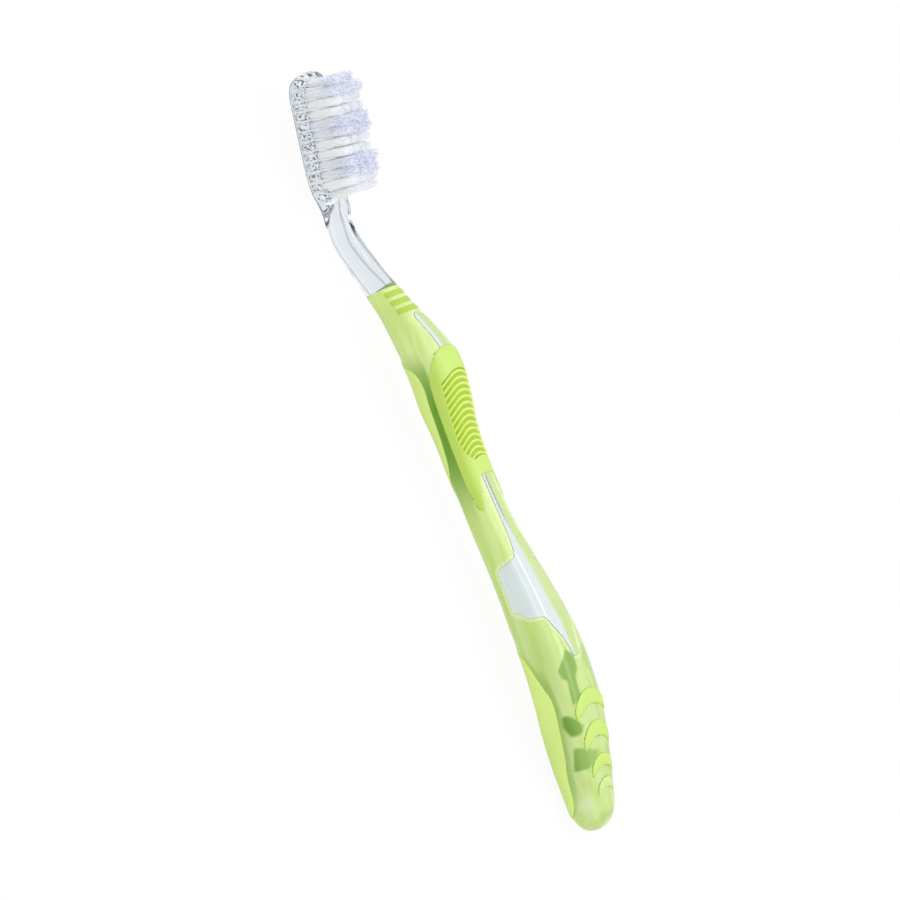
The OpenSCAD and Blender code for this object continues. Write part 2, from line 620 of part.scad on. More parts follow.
module tuft_row(k) {
    color(is_blue(k) ? "lavender" : "white") union() {
        for (c = columns(k)) on_face(row_s(k), c * column_pitch) tuft(is_blue(k), lift(k, c));
    }
}

// The flat staples that hold the tufts, across the bottom of each hole
module tuft_anchors() {
    color("silver") for (k = [1:12], c = columns(k)) {
        on_face(row_s(k), c * column_pitch)
            translate([-anchor_t / 2, -hole_d / 2 + fit_gap * 3, -hole_depth])
                cube([anchor_t, hole_d - fit_gap * 6, anchor_h]);
    }
}

in_place() handle_core();
in_place() green_jacket();
in_place() thumb_grip();
in_place() back_grip();
in_place() neck_ribs();
in_place() tail_key();
in_place() tail_grip(1);  // tail_grip_1
in_place() tail_grip(2);  // tail_grip_2
in_place() tail_grip(3);  // tail_grip_3
in_place() tail_grip(4);  // tail_grip_4
in_place() tuft_anchors();
in_place() tuft_row(1);  // tuft_row_01
in_place() tuft_row(2);  // tuft_row_02
in_place() tuft_row(3);  // tuft_row_03
in_place() tuft_row(4);  // tuft_row_04
in_place() tuft_row(5);  // tuft_row_05
in_place() tuft_row(6);  // tuft_row_06
in_place() tuft_row(7);  // tuft_row_07
in_place() tuft_row(8);  // tuft_row_08
in_place() tuft_row(9);  // tuft_row_09
in_place() tuft_row(10);  // tuft_row_10
in_place() tuft_row(11);  // tuft_row_11
in_place() tuft_row(12);  // tuft_row_12
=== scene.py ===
"""Manual toothbrush: the looks of the clear core, the green jacket, the soft grips and the tufts."""

import math
from functools import partial, reduce

import bmesh
import bpy
import numpy as np
from mathutils import Matrix, Vector


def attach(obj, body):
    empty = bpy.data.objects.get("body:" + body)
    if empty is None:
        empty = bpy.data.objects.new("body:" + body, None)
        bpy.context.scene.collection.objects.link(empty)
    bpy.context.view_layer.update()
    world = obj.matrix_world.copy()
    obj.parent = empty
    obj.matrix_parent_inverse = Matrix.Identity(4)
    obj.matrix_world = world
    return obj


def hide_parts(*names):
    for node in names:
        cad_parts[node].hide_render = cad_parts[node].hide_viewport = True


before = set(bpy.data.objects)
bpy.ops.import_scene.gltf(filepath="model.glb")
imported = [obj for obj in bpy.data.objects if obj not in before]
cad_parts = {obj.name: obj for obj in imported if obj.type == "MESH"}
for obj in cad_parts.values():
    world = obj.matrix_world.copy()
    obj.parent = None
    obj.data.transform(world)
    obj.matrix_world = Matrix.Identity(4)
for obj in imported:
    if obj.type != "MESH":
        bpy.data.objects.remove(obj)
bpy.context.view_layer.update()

bl_info = {
    "name": "Manual toothbrush",
    "version": (1, 0, 0),
    "blender": (4, 5, 0),
    "location": "3D View > Sidebar > Toothbrush",
    "description": "Builds a moulded and tufted manual toothbrush piece by piece",
    "category": "Add Mesh",
}

MM = 0.001

# Sizes of the solids in millimetres. Places along the brush are measured from the tip of the head.
HEAD_L, HEAD_W, HEAD_T, FACE_Z, TILT = 30.0, 12.0, 5.5, 6.45, math.radians(12.9)
NECK_L, NECK_W, NECK_T = 24.0, 5.6, 6.0
SHOULDER_L, THUMB_L, GRIP_L, TAIL_L = 22.0, 31.0, 51.0, 32.0
CREST_W, CREST_T, WAIST_W, WAIST_T, TAIL_W, TAIL_T, TAIL_ROUND = 11.6, 11.3, 9.9, 8.9, 16.2, 12.6, 7.0
JACKET_X = HEAD_L + NECK_L
CREST_X = JACKET_X + SHOULDER_L
WAIST_X = CREST_X + THUMB_L
TAIL_X = WAIST_X + GRIP_L
BRUSH_L = TAIL_X + TAIL_L
ROUND_X = BRUSH_L - TAIL_ROUND
# Heights of the middle line at the crest, the waist, the thick part of the grip and the tail
CREST_Z, WAIST_Z, GRIP_Z, TAIL_Z = 12.1, 9.8, 11.4, 10.4
FIRST_ROW, ROW_PITCH, COLUMN_PITCH, HOLE_D, HOLE_DEPTH = 3.2, 2.4, 2.9, 1.7, 3.6
ANCHOR_H, ANCHOR_T, FIT_GAP = 1.2, 0.25, 0.02
ROWS, BLUE_ROWS = range(1, 13), (1, 2, 5, 6, 9, 10)

# The pads: depth of their seats, how far in from its outline a seat reaches it, their undersides, how
# wide the back strip's edge is rounded, and how far their outlines lie under the skin
SEAT_D, SEAT_EDGE, PAD_BOTTOM, PAD_ROUND, EDGE_SUNK = 0.74, 0.35, -0.7, 0.5, 0.02

# The tufts: how far above the face they fan out, how much their height varies, how far the tops of the
# outer rows lean along the brush, and for white and for blue: steps along a filament, how much a tuft
# opens just above the face and again towards its top, and how far a filament strays
FAN_H, UNEVEN = 1.5, 0.25
TUFT_LEAN = {1: 0.05, 2: 0.25, 11: -0.35, 12: -0.8}
WHITE_FAN, BLUE_FAN = (9, 0.33, 0, 0.03), (28, 0.34, 0.42, 0.2)


def face_z(x):
    """Height of the tufted face: a straight slope that falls from the tip to the neck."""
    return FACE_Z + (HEAD_L - x) * math.tan(TILT)


def head_station(share, w, h, power):
    """A station of the head at a share of its length: a box-like section just under the tufted face,
    whose half sizes are shares of the head's."""
    x = HEAD_L * share
    return x, face_z(x) - HEAD_T * h, HEAD_W * w, HEAD_T * h, power


def stations(start, run, width, depth, rows):
    """Stations from rows of share of the run, middle height, shares of width and depth, squareness."""
    return [(start + run * share, z, width * w, depth * h, power) for share, z, w, h, power in rows]


# Stations of the outer skin: place, middle height, half width, half depth, squareness
STATIONS = np.array(
    [head_station(*row) for row in (
        (0, 0.5, 0.5, 4.0), (0.5, 0.5, 0.5, 4.0), (0.72, 0.49, 0.5, 4.0), (0.9, 0.44, 0.49, 3.6),
        (1, 0.385, 0.445, 2.92))]
    + stations(HEAD_L, NECK_L, HEAD_W, NECK_T, [(0.12, 3.72, 0.285, 0.49, 2.99)])
    + stations(HEAD_L, NECK_L, NECK_W, NECK_T, [
        (0.25, 2.94, 0.51, 0.535, 2.3), (0.42, 2.97, 0.555, 0.575, 2.3), (0.6, 3.9, 0.59, 0.59, 2.3),
        (0.8, 5.25, 0.61, 0.59, 2.3)])
    + stations(JACKET_X, SHOULDER_L, CREST_W, CREST_T, [
        (0, 6.8, 0.32, 0.33, 2.392), (0.25, 8.5, 0.35, 0.36, 2.52),
        (0.5, CREST_Z * 0.84, 0.42, 0.43, 2.64), (0.75, CREST_Z * 0.95, 0.48, 0.485, 2.82),
        (1, CREST_Z, 0.5, 0.5, 3.0)])
    + stations(CREST_X, THUMB_L, CREST_W, CREST_T, [(0.25, CREST_Z * 0.93, 0.49, 0.475, 3.0)])
    + stations(CREST_X, THUMB_L, WAIST_W, WAIST_T, [
        (0.5, WAIST_Z * 1.065, 0.51, 0.5, 3.0), (0.78, WAIST_Z * 1.01, 0.485, 0.48, 3.0)])
    + stations(WAIST_X, GRIP_L, WAIST_W, WAIST_T, [
        (0, WAIST_Z, 0.49, 0.485, 3.0), (0.16, WAIST_Z * 1.01, 0.51, 0.51, 3.0),
        (0.32, GRIP_Z * 0.92, 0.565, 0.55, 3.0)])
    + stations(WAIST_X, GRIP_L, TAIL_W, TAIL_T, [
        (0.47, GRIP_Z * 0.97, 0.39, 0.43, 3.0), (0.62, GRIP_Z, 0.435, 0.465, 3.2),
        (0.8, GRIP_Z * 1.015, 0.465, 0.485, 3.2)])
    + stations(TAIL_X, TAIL_L, TAIL_W, TAIL_T, [
        (0, TAIL_Z * 1.01, 0.49, 0.49, 3.2), (0.2, TAIL_Z * 0.899, 0.49, 0.493, 3.2),
        (0.42, TAIL_Z * 0.754, 0.465, 0.465, 3.04), (0.64, TAIL_Z * 0.615, 0.42, 0.425, 2.72),
        (0.8, TAIL_Z * 0.508, 0.385, 0.39, 2.4), (1, 4.2, 0.35, 0.35, 2.4)]))
END_POWER = 2.3


def section(x):
    """A cubic Hermite curve through the stations, whose slopes come from each station's neighbours."""
    last = len(STATIONS) - 1
    before, after = np.maximum(np.arange(last + 1) - 1, 0), np.minimum(np.arange(last + 1) + 1, last)
    slopes = (STATIONS[after] - STATIONS[before]) / (STATIONS[after, :1] - STATIONS[before, :1])
    x = np.asarray(x, float)
    i = np.clip(np.searchsorted(STATIONS[:, 0], x, side="right") - 1, 0, last - 1)
    h = (STATIONS[i + 1, 0] - STATIONS[i, 0])[..., None]
    t = (x[..., None] - STATIONS[i, :1]) / h
    return (STATIONS[i] * (2 * t**3 - 3 * t**2 + 1) + slopes[i] * h * (t**3 - 2 * t**2 + t)
            + STATIONS[i + 1] * (3 * t**2 - 2 * t**3) + slopes[i + 1] * h * (t**3 - t**2))


def round_off(q):
    """0 at an end of the brush and 1 from the end of its rounding on, along a rounded-square curve."""
    q = np.clip(q, 0, 1)
    return (1 - (1 - q)**END_POWER)**(1 / END_POWER)


def halves(x, d=0.0):
    """Half width and half depth of the section at x, with the skin moved out by d."""
    s = section(x)
    tail = round_off((BRUSH_L + d - x) / (TAIL_ROUND + d))
    return ((s[..., 2] + d) * round_off((x + d) / (HEAD_W / 2 + d)) * tail,
            (s[..., 3] + d) * round_off((x + d) / (HEAD_T / 2 + d)) * tail)


def squared(c, e):
    """Power e of the size of c, with the sign of c."""
    return np.sign(c) * np.abs(c)**e


LEVELS = np.linspace(HEAD_W / 2, BRUSH_L, 181)
REST_Z = float((section(LEVELS)[:, 1] - halves(LEVELS)[1] - np.where(LEVELS > JACKET_X, 0.3, 0)).min())


def skin(x, t, d=0.0):
    """The point of the skin at x and the section angle t in degrees: a squared oval (superellipse)
    round the middle line. 0 is the +Y side, 90 the front, 270 the back. In metres, in the row frame."""
    x, t, d = np.broadcast_arrays(np.asarray(x, float), np.asarray(t, float), np.asarray(d, float))
    s = section(x)
    e = 2 / s[..., 4]
    w, h = halves(x, d)
    a = np.radians(t)
    y, z = w * squared(np.cos(a), e), s[..., 1] + h * squared(np.sin(a), e)
    return np.stack([x - BRUSH_L / 2, y, z - REST_Z], -1) * MM


def front_half_angle(x, y):
    """Section angle from the front to the distance y from the middle plane."""
    w, n = halves(x)[0], section(x)[..., 4]
    return 90 - np.degrees(np.arccos(np.clip(y / w, 0, 1)**(n / 2)))


def mm_per_degree(x):
    """About how far one degree of section angle goes round the section."""
    w, h = halves(x)
    return np.maximum((w + h) / 2 * math.pi / 180, 0.01)


def smooth_curve(table):
    """A monotone cubic through (place, value) pairs: its slopes are harmonic means of the chords'."""
    xs, ys = np.array(table, float).T
    h = np.diff(xs)
    m = np.diff(ys) / h
    s = np.zeros_like(xs)
    same = m[:-1] * m[1:] > 0
    s[1:-1][same] = (2 * m[:-1] * m[1:])[same] / (m[:-1] + m[1:])[same]
    s[0], s[-1] = m[0], m[-1]

    def at(x):
        i = np.clip(np.searchsorted(xs, x, side="right") - 1, 0, len(xs) - 2)
        t = np.clip((x - xs[i]) / h[i], 0, 1)
        return (ys[i] * (2 * t**3 - 3 * t**2 + 1) + s[i] * h[i] * (t**3 - 2 * t**2 + t)
                + ys[i + 1] * (3 * t**2 - 2 * t**3) + s[i + 1] * h[i] * (t**3 - t**2))
    return at


# The thumb pad's outline: shares of the nose's run and of the tongues' length at angles from the side
THUMB_EDGE = 5.0
THUMB_NOSE_X = CREST_X - SHOULDER_L * 0.18
NOSE_RUN, TONGUE_L, RIB_RADIUS = SHOULDER_L * 0.32, THUMB_L * 0.26, 7.0
NOSE = smooth_curve([
    (5, 1), (12, 0.72), (20, 0.52), (29, 0.37), (40, 0.25), (54, 0.13), (72, 0.04), (90, 0)])
TONGUE = smooth_curve([
    (5, 0.19), (12, 0.86), (20, 1), (29, 0.95), (40, 0.74), (54, 0.27), (72, 0.02), (90, 0)])
RIB_PITCH, RIB_COUNT = 1.5, 14
RIB_X = CREST_X + RIB_PITCH * 0.57
# How far the ribs stand nearer the tail here, and how far a soft pad laps over the edge of its seat
RIB_SHIFT, LAP = 0.8, 0.12
# Half width of a rib's ridge as a share of the pitch, its height over the pad, places along the brush
# in a pitch, and the half angle that the ribs reach by their number from the tail
RIDGE_W, RIDGE_H, RIB_STEPS = 0.2, 0.12, 14
RIB_REACH = ((0, 1, 2, 3, 5), (20, 34, 46, 54, 60))
RIB_END_X = RIB_X + RIB_COUNT * RIB_PITCH
THUMB_TAIL_X = RIB_END_X + THUMB_L * 0.15

# The back strip: places as shares of a run from its start, and the angle from the side at which the
# strip's edge runs there
BACK_EDGES = [(start + run * share, angle) for start, run, rows in (
    (CREST_X, SHOULDER_L, ((-0.27, 82), (-0.23, 70), (-0.15, 50), (-0.08, 22))),
    (CREST_X, THUMB_L, ((0, 11), (0.06, 6.5), (0.14, 4.5), (0.29, 6), (0.47, 9), (0.68, 17), (0.78, 32),
                        (0.85, 52), (0.97, 68))),
    (WAIST_X, GRIP_L, ((0.1, 72), (0.25, 72), (0.4, 72), (0.55, 72), (0.67, 66), (0.73, 56), (0.78, 27),
                       (0.86, 10.7), (0.94, 2))),
    (TAIL_X, TAIL_L, ((0.08, -2), (0.256, -1), (0.44, 0.5), (0.62, 4.5), (0.72, 6.5), (0.79, 13),
                      (0.835, 30), (0.86, 60)))) for share, angle in rows]
BACK_EDGE = smooth_curve(BACK_EDGES)
BACK_X, BACK_END_X = BACK_EDGES[0][0], BACK_EDGES[-1][0]

# The clear windows in the jacket's front
SLIT_X = JACKET_X + SHOULDER_L * 0.35
SLIT_END_X = THUMB_NOSE_X + 0.7
SLIT_HALF_W, SLIT_ROUND = 2.0, 2.2
WINDOW_X = THUMB_TAIL_X - 0.35
WINDOW_END_X = WAIST_X + GRIP_L * 0.85
WINDOW = smooth_curve([(WINDOW_X + (WINDOW_END_X - WINDOW_X) * s, 90 * a) for s, a in (
    (0, 0.15), (0.1, 0.15), (0.22, 0.16), (0.345, 0.22), (0.443, 0.39), (0.458, 0.67), (0.472, 0.97),
    (0.5, 1.04), (0.59, 1.05), (0.68, 1.055), (0.72, 0.95), (0.752, 0.82), (0.76, 0.555), (0.77, 0.38),
    (0.83, 0.23), (0.9, 0.1), (1, 0.03))])

# Half angle of the strip along the core's front that rises into the openings, where there is none, and
# how far its edges are sunk. Width and depth of the jacket's chamfer round an opening, and how far its
# front edge is sunk
STRIP_ANGLE, STRIP_SUNK = 1.5, 0.06
CHAMFER_W, CHAMFER_D, FRONT_SUNK = 0.3, 0.22, 0.12

# The hollow band in the jacket's sides between the pads: its depth, and how strong the painted shade
# of deep green is along it
HOLLOW_D = 0.5
HOLLOW_BAND = smooth_curve([(CREST_X + s, v) for s, v in (
    (-6, 0), (-3, 0.3), (0, 0.68), (6, 0.95), (15, 1), (19, 1), (23, 0.9), (29, 0.55), (36, 0.18),
    (42, 0))])

# Small pads: the ribs behind the jacket's front edge and the crescents on the tail. A crescent has its
# place as a share of TAIL_L, its half span of TAIL_W, and its thickness and sweep of CRESCENT_L
NECK_RIB_L, NECK_RIB_ANGLE = 1.2, 62.0
NECK_RIBS = tuple(JACKET_X + NECK_RIB_L + SHOULDER_L * 0.105 * k for k in range(3))
CRESCENT_L, CRESCENT_PART = 3.6, 0.985
CRESCENTS = (
    (0.012, 0.385, 1, 1.42), (0.25, 0.335, 0.97, 1.36), (0.49, 0.27, 0.74, 1.02), (0.66, 0.2, 0.6, 0.8))
LEG_L, LEG_PART = 4.6, 0.66

# The insert in the tail: its crown, its top and its bottom below the skin's front, and half widths
# along it, for its leaf, its stem and the part under the crescents
KEY_CROWN, KEY_TOP, KEY_BOTTOM = 0.4, 2.6, 6.2
KEY_X, KEY_END_X = WAIST_X + GRIP_L * 0.8, TAIL_X + TAIL_L * 0.74
KEY_HALF_W = smooth_curve([(KEY_X + (KEY_END_X - KEY_X) * s, TAIL_W * h) for s, h in (
    (0, 0.02), (0.045, 0.13), (0.1, 0.22), (0.145, 0.26), (0.18, 0.235), (0.205, 0.16), (0.225, 0.095),
    (0.31, 0.09), (0.335, 0.22), (0.36, 0.28), (0.54, 0.3), (0.74, 0.26), (0.89, 0.19), (0.975, 0.11),
    (1, 0.03))])

# The view from above one side: how far the brush leans in it, how far above the side it is, and the
# place in millimetres that it looks at
LEAN, RISE, TARGET = math.radians(2.515), math.radians(34), (-0.35, 0, 7.61)

# The insert as it is seen through the jacket in that view, for the painted see-through on the jacket,
# in millimetres along and across the view: the two edges of the leaf with its stem and their ends, and
# the corners of the two cells below
LEAF_X, LEAF_END_X = 53, 65.5
LEAF_LOW = smooth_curve([
    (LEAF_X, 8.4), (54.9, 7.1), (57.3, 5.2), (58.9, 5.4), (60, 6.4), (62, 6.1), (66, 5.6)])
LEAF_HIGH = smooth_curve([(LEAF_X, 8.6), (54.9, 9.9), (57.8, 9.65), (59.5, 8.7), (61, 8.4), (66, 8.2)])
CELLS = (((67.3, 2.3), (70.0, 1.7), (72.6, 2.8), (72.6, 5.2), (71.0, 6.3), (68.1, 4.3)),
         ((75.1, 2.4), (80.4, 0.5), (80.8, 4.4), (77.7, 7.6), (75.6, 3.6)))

# The far edge of the clear neck as it is refracted in the side view: a painted refraction, a thin grey
# line painted along it
NECK_LINE = smooth_curve([(-66, -3.0), (-60, -4.4), (-54.5, -4.7), (-48, -3.1), (-41, -0.1)])


def least(*values):
    """The smallest of several arrays, place by place."""
    return reduce(np.minimum, values)


def side_view(co):
    """Places in millimetres, as seen from above the nearer side: along the brush and across the view."""
    x, y, z = (co - np.array(TARGET)).T
    up = x * math.sin(LEAN) + z * math.cos(LEAN)
    return x * math.cos(LEAN) - z * math.sin(LEAN), up * math.cos(RISE) - np.abs(y) * math.sin(RISE)


def insert_seen(a, s):
    """How strongly the painted see-through of the insert shows at a place of the side view. It is a
    little weaker over the leaf, and strongest at the low edge of the first cell. The corners of a cell
    are rounded by a soft minimum of the distances inward from its edges: -log(sum of exp(-k x
    distance)) / k."""
    leaf = least(s - LEAF_LOW(a), LEAF_HIGH(a) - s, a - LEAF_X, LEAF_END_X - a)
    seen = 0.72 * ramp_down(-leaf, -0.25, 0.25)
    sharpness = 3.5
    for corners, most in zip(CELLS, (1.0, 0.85)):
        outside = np.zeros(a.shape)
        for (a0, s0), (a1, s1) in zip(corners, corners[1:] + corners[:1]):
            inward = ((a1 - a0) * (s - s0) - (s1 - s0) * (a - a0)) / math.hypot(a1 - a0, s1 - s0)
            outside = outside + np.exp(np.clip(-sharpness * inward, -60, 60))
        inside = -np.log(outside) / sharpness + 0.15
        low = min(c[1] for c in corners)
        seen = np.maximum(seen, most * ramp_down(-inside, -0.35, 0.35) * (1 - 0.06 * (s - low)))
    return seen


def window_half_angle(x):
    """Half angle of the clear opening in the jacket at x: 0 where there is none."""
    rounded = np.sqrt(np.clip(1 - (1 - np.clip((x - SLIT_X) / SLIT_ROUND, 0, 1))**2, 0, 1))
    slit = front_half_angle(x, SLIT_HALF_W * rounded)
    w = np.where((x > SLIT_X) & (x < SLIT_END_X), slit, 0)
    return np.where((x > WINDOW_X) & (x < WINDOW_END_X), WINDOW(x), w)


def crescent_point(k, r, v):
    """Place of the crescent k's point: r runs from its first edge to its last, v from horn to horn.
    The first edge is a half ellipse in v whose horns sweep back, the last edge a flat parabola."""
    first, last, span = crescent_edges(k, v)
    return first + (last - first) * r, span * v


def crescent_edges(k, v):
    """First and last edge of the crescent k at v, and its half span."""
    start, span, thick, sweep = CRESCENTS[k]
    first = TAIL_X + TAIL_L * start + CRESCENT_L * sweep * (1 - np.sqrt(np.clip(1 - v**2, 0, 1)))
    last = TAIL_X + TAIL_L * start + CRESCENT_L * thick * (1.03 + 0.73 * v**2)
    return first, last, TAIL_W * span


def seat_depth(x, t):
    """Depth of the pads' seats below the skin at x and t: it ramps down just inside each outline."""
    x, t = np.broadcast_arrays(x, np.mod(t, 360))
    scale = mm_per_degree(x)
    a = np.where(t < 180, 90 - np.abs(90 - t), 0)
    inside = least(x - THUMB_NOSE_X - NOSE_RUN * NOSE(a), THUMB_TAIL_X + TONGUE_L * TONGUE(a) - x,
                   (a - THUMB_EDGE) * scale)
    back = (90 - BACK_EDGE(x) - np.abs(np.where(t < 90, t + 360, t) - 270)) * scale
    inside = np.maximum(inside, least(x - BACK_X, BACK_END_X - x, back))
    for start in NECK_RIBS:
        rib = least(x - start, start + NECK_RIB_L - x, (NECK_RIB_ANGLE - np.abs(90 - t)) * scale)
        inside = np.maximum(inside, np.where(t < 180, rib, -1))
    y = np.abs(skin(x, t)[..., 1]) / MM
    for k, (_, span, _, _) in enumerate(CRESCENTS):
        first, last, half = crescent_edges(k, np.clip(y / (TAIL_W * span), 0, 1))
        cap = least(x - first, last - x, half * CRESCENT_PART - y)
        inside = np.maximum(inside, np.where(t < 180, cap, -1))
    q = np.clip(inside / SEAT_EDGE, 0, 1)
    return SEAT_D * q * q * (3 - 2 * q)


def hollow(x, t):
    """Depth of the hollow band in the jacket's sides: a sine dish between the pads' edges."""
    side = np.where(np.cos(np.radians(t)) > 0, np.mod(t + 180, 360) - 180, 180 - np.mod(t, 360))
    low = -BACK_EDGE(x) * 0.8
    u = np.clip((side - low) / (THUMB_EDGE * 0.98 - low), 0, 1)
    v = np.clip((x - CREST_X - THUMB_L * 0.03) / (THUMB_L * 0.79), 0, 1)
    q = np.clip(1.5 * np.sin(np.pi * u) * np.sin(np.pi * v) - 0.35, 0, 1.15)
    return HOLLOW_D * q * q * (3 - 2 * q) / 1.15


def even(a, b, steps):
    """Evenly spaced places from a to b."""
    return np.linspace(a, b, steps + 1)


def rows_along(parts, *more):
    """Sorted places from runs of even ones and from lists of more, with each once."""
    return np.unique(np.round(np.concatenate([even(*p) for p in parts] + list(more)), 4))


# Runs of closer places where the openings begin, narrow and end
WINDOW_ROWS = [
    (SLIT_X - 0.2, SLIT_X + 2.4, 14), (WINDOW_X - 0.1, WINDOW_X + 1, 6),
    (WINDOW_X + 20.8, WINDOW_X + 24.6, 30), (WINDOW_X + 32.4, WINDOW_X + 38, 40),
    (WINDOW_END_X - 1, WINDOW_END_X + 0.2, 8)]


def tail_rows(end):
    """Places along the tail's rounding, closer together towards its end."""
    return ROUND_X + (end - ROUND_X) * np.sin(even(0.1, math.pi / 2 - 0.03, 16))


def rounding(steps):
    """Shares of the way in and of the height along a quarter-round edge, from its foot to its top."""
    a = even(0, math.pi / 2, steps)
    return 1 - np.cos(a), np.sin(a)


def triangles(index):
    """Two triangles for each cell of a grid of vertex numbers, without those that have no area."""
    a, b = index[:-1, :-1].ravel(), index[:-1, 1:].ravel()
    c, d = index[1:, 1:].ravel(), index[1:, :-1].ravel()
    f = np.concatenate([np.stack([a, c, b], 1), np.stack([a, d, c], 1)])
    return f[(f[:, 0] != f[:, 1]) & (f[:, 1] != f[:, 2]) & (f[:, 0] != f[:, 2])]


def slab(top, bottom, index=None, cap_row=None):
    """A closed solid between two grids of points: both sheets, and a wall along every free edge.
    index joins vertices of the sheets. cap_row is a closed row that gets a fan round its centre."""
    m, n = top.shape[:2]
    index = np.arange(m * n).reshape(m, n) if index is None else index
    p, q = top.reshape(-1, 3), bottom.reshape(-1, 3)
    faces = triangles(index)
    if cap_row is not None:
        ring = index[cap_row]
        fan = np.stack([ring[:-1], np.full(len(ring) - 1, len(p)), ring[1:]], 1)
        faces = np.concatenate([faces, fan[fan[:, 0] != fan[:, 2]]])
        p, q = np.vstack([p, p[ring].mean(0)]), np.vstack([q, q[ring].mean(0)])
    e = np.concatenate([faces[:, [0, 1]], faces[:, [1, 2]], faces[:, [2, 0]]])
    free = e[~np.isin(e[:, 0] * len(p) + e[:, 1], e[:, 1] * len(p) + e[:, 0])]
    a, b = free.T
    walls = np.concatenate([np.stack([b, a, a + len(p)], 1), np.stack([b, a + len(p), b + len(p)], 1)])
    return np.vstack([p, q]), np.concatenate([faces, faces[:, ::-1] + len(p), walls])


def loft(points):
    """A closed solid through rings of points, with a fan round the centre of the first and the last."""
    m, n = points.shape[:2]
    index = np.arange(m * n).reshape(m, n)
    index = np.hstack([index, index[:, :1]])
    faces = triangles(index)
    first = np.stack([index[0, :-1], index[0, 1:], np.full(n, m * n)], 1)
    last = np.stack([index[-1, 1:], index[-1, :-1], np.full(n, m * n + 1)], 1)
    p = np.vstack([points.reshape(-1, 3), points[0].mean(0), points[-1].mean(0)])
    return p, np.concatenate([faces, first, last])


def outward(verts, faces):
    """The faces, turned so that the volume they close is positive."""
    a, b, c = (verts[faces[:, i]] for i in range(3))
    volume = np.einsum("ij,ij->", a, np.cross(b, c))
    return faces if volume > 0 else faces[:, ::-1]


def join(parts):
    """Several solids as one list of vertices and one of faces."""
    verts, faces, count = [], [], 0
    for v, f in parts:
        verts.append(v)
        faces.append(f + count)
        count += len(v)
    return np.vstack(verts), np.concatenate(faces)


def make_piece(name, verts, faces, material, slot, nodes, sharp=40.0, merge=False):
    """A mesh object with its place in its mesh, that rides on the brush and stands for CAD nodes."""
    used, faces = np.unique(outward(verts, faces), return_inverse=True)
    faces = faces.reshape(-1, 3)
    mesh = bpy.data.meshes.new(name)
    mesh.from_pydata(verts[used].tolist(), [], faces.tolist())
    if merge:
        b = bmesh.new()
        b.from_mesh(mesh)
        bmesh.ops.remove_doubles(b, verts=b.verts, dist=2e-6)
        bmesh.ops.dissolve_degenerate(b, edges=b.edges, dist=1e-7)
        b.to_mesh(mesh)
        b.free()
    mesh.validate()
    finish_mesh(mesh, sharp)
    piece = bpy.data.objects.new(name, mesh)
    bpy.context.scene.collection.objects.link(piece)
    mesh.materials.append(material)
    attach(piece, "root")
    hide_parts(*nodes)
    return piece


def finish_mesh(mesh, sharp):
    """Smooth shading, with edges sharper than the angle left crisp."""
    mesh.polygons.foreach_set("use_smooth", np.ones(len(mesh.polygons), bool))
    mesh.set_sharp_from_angle(angle=math.radians(sharp))
    mesh.update()


def local_places(mesh):
    """Where the mesh's vertices are, in the brush's own terms: distance along it, across it, angle round
    the section (90 is the front), size of the squared oval through the point (1 is the skin), the least
    half size of the section there, and the places themselves in millimetres."""
    co = np.zeros(len(mesh.vertices) * 3)
    mesh.vertices.foreach_get("co", co)
    co = co.reshape(-1, 3) / MM
    x = np.clip(co[:, 0] + BRUSH_L / 2, 0.01, BRUSH_L - 0.01)
    s = section(x)
    w, h = halves(x)
    across, up = co[:, 1] / w, (co[:, 2] + REST_Z - s[:, 1]) / h
    size = (np.abs(across)**s[:, 4] + np.abs(up)**s[:, 4])**(1 / s[:, 4])
    t = np.degrees(np.arctan2(squared(up, s[:, 4] / 2), squared(across, s[:, 4] / 2)))
    return x, co[:, 1], t, size, np.minimum(w, h), co


def mark_skin(mesh, reach, every):
    """Face attributes for a plastic under or over another shot. bonded is 1 where the face touches the
    next shot and no light bends there: its corners (every one, or at least one) lie deeper than reach
    millimetres below the skin. rim is 1 where only some do, as on a cut wall. window is 1 on the free
    faces behind the jacket's front edge, and bore on the walls of the tuft holes."""
    x, _, _, size, reach_in, _ = local_places(mesh)
    deep = ((1 - size) * reach_in > reach) & (x > JACKET_X - 0.01)
    loops = np.zeros(len(mesh.loops), np.int32)
    mesh.loops.foreach_get("vertex_index", loops)
    starts = np.zeros(len(mesh.polygons), np.int32)
    mesh.polygons.foreach_get("loop_start", starts)
    some, full = np.logical_or.reduceat(deep[loops], starts), np.logical_and.reduceat(deep[loops], starts)
    bonded = full if every else some
    behind = np.logical_and.reduceat(x[loops] > JACKET_X + 0.1, starts)
    bore = np.logical_or.reduceat(((1 - size) * reach_in > 0.05)[loops], starts) & ~behind & ~bonded
    marks = {"bonded": bonded, "rim": some & ~full, "window": behind & ~bonded, "bore": bore}
    for name, value in marks.items():
        mesh.attributes.new(name, "FLOAT", "FACE").data.foreach_set("value", value.astype(np.float32))


def add_shade(mesh, values, name="shade"):
    """A point attribute: how strong a second colour is at each vertex, from 0 to 1."""
    attribute = mesh.attributes.new(name, "FLOAT", "POINT")
    attribute.data.foreach_set("value", np.ravel(values).astype(np.float32))


def ramp_down(value, start, end):
    """1 where the value is below start, 0 beyond end, and a smooth step between."""
    u = np.clip((end - value) / (end - start), 0, 1)
    return u * u * (3 - 2 * u)


def window_border(x, t):
    """Distance in millimetres over the skin from the edge of the nearest clear opening."""
    gap = np.full(x.shape, 99.0)
    for dx in even(-1.2, 1.2, 12):
        w = window_half_angle(x + dx)
        side = np.maximum(np.abs(90 - np.where(t < -90, t + 360, t)) - w, 0) * mm_per_degree(x)
        gap = np.minimum(gap, np.where(w > 0, np.hypot(side, dx), 99))
    return gap


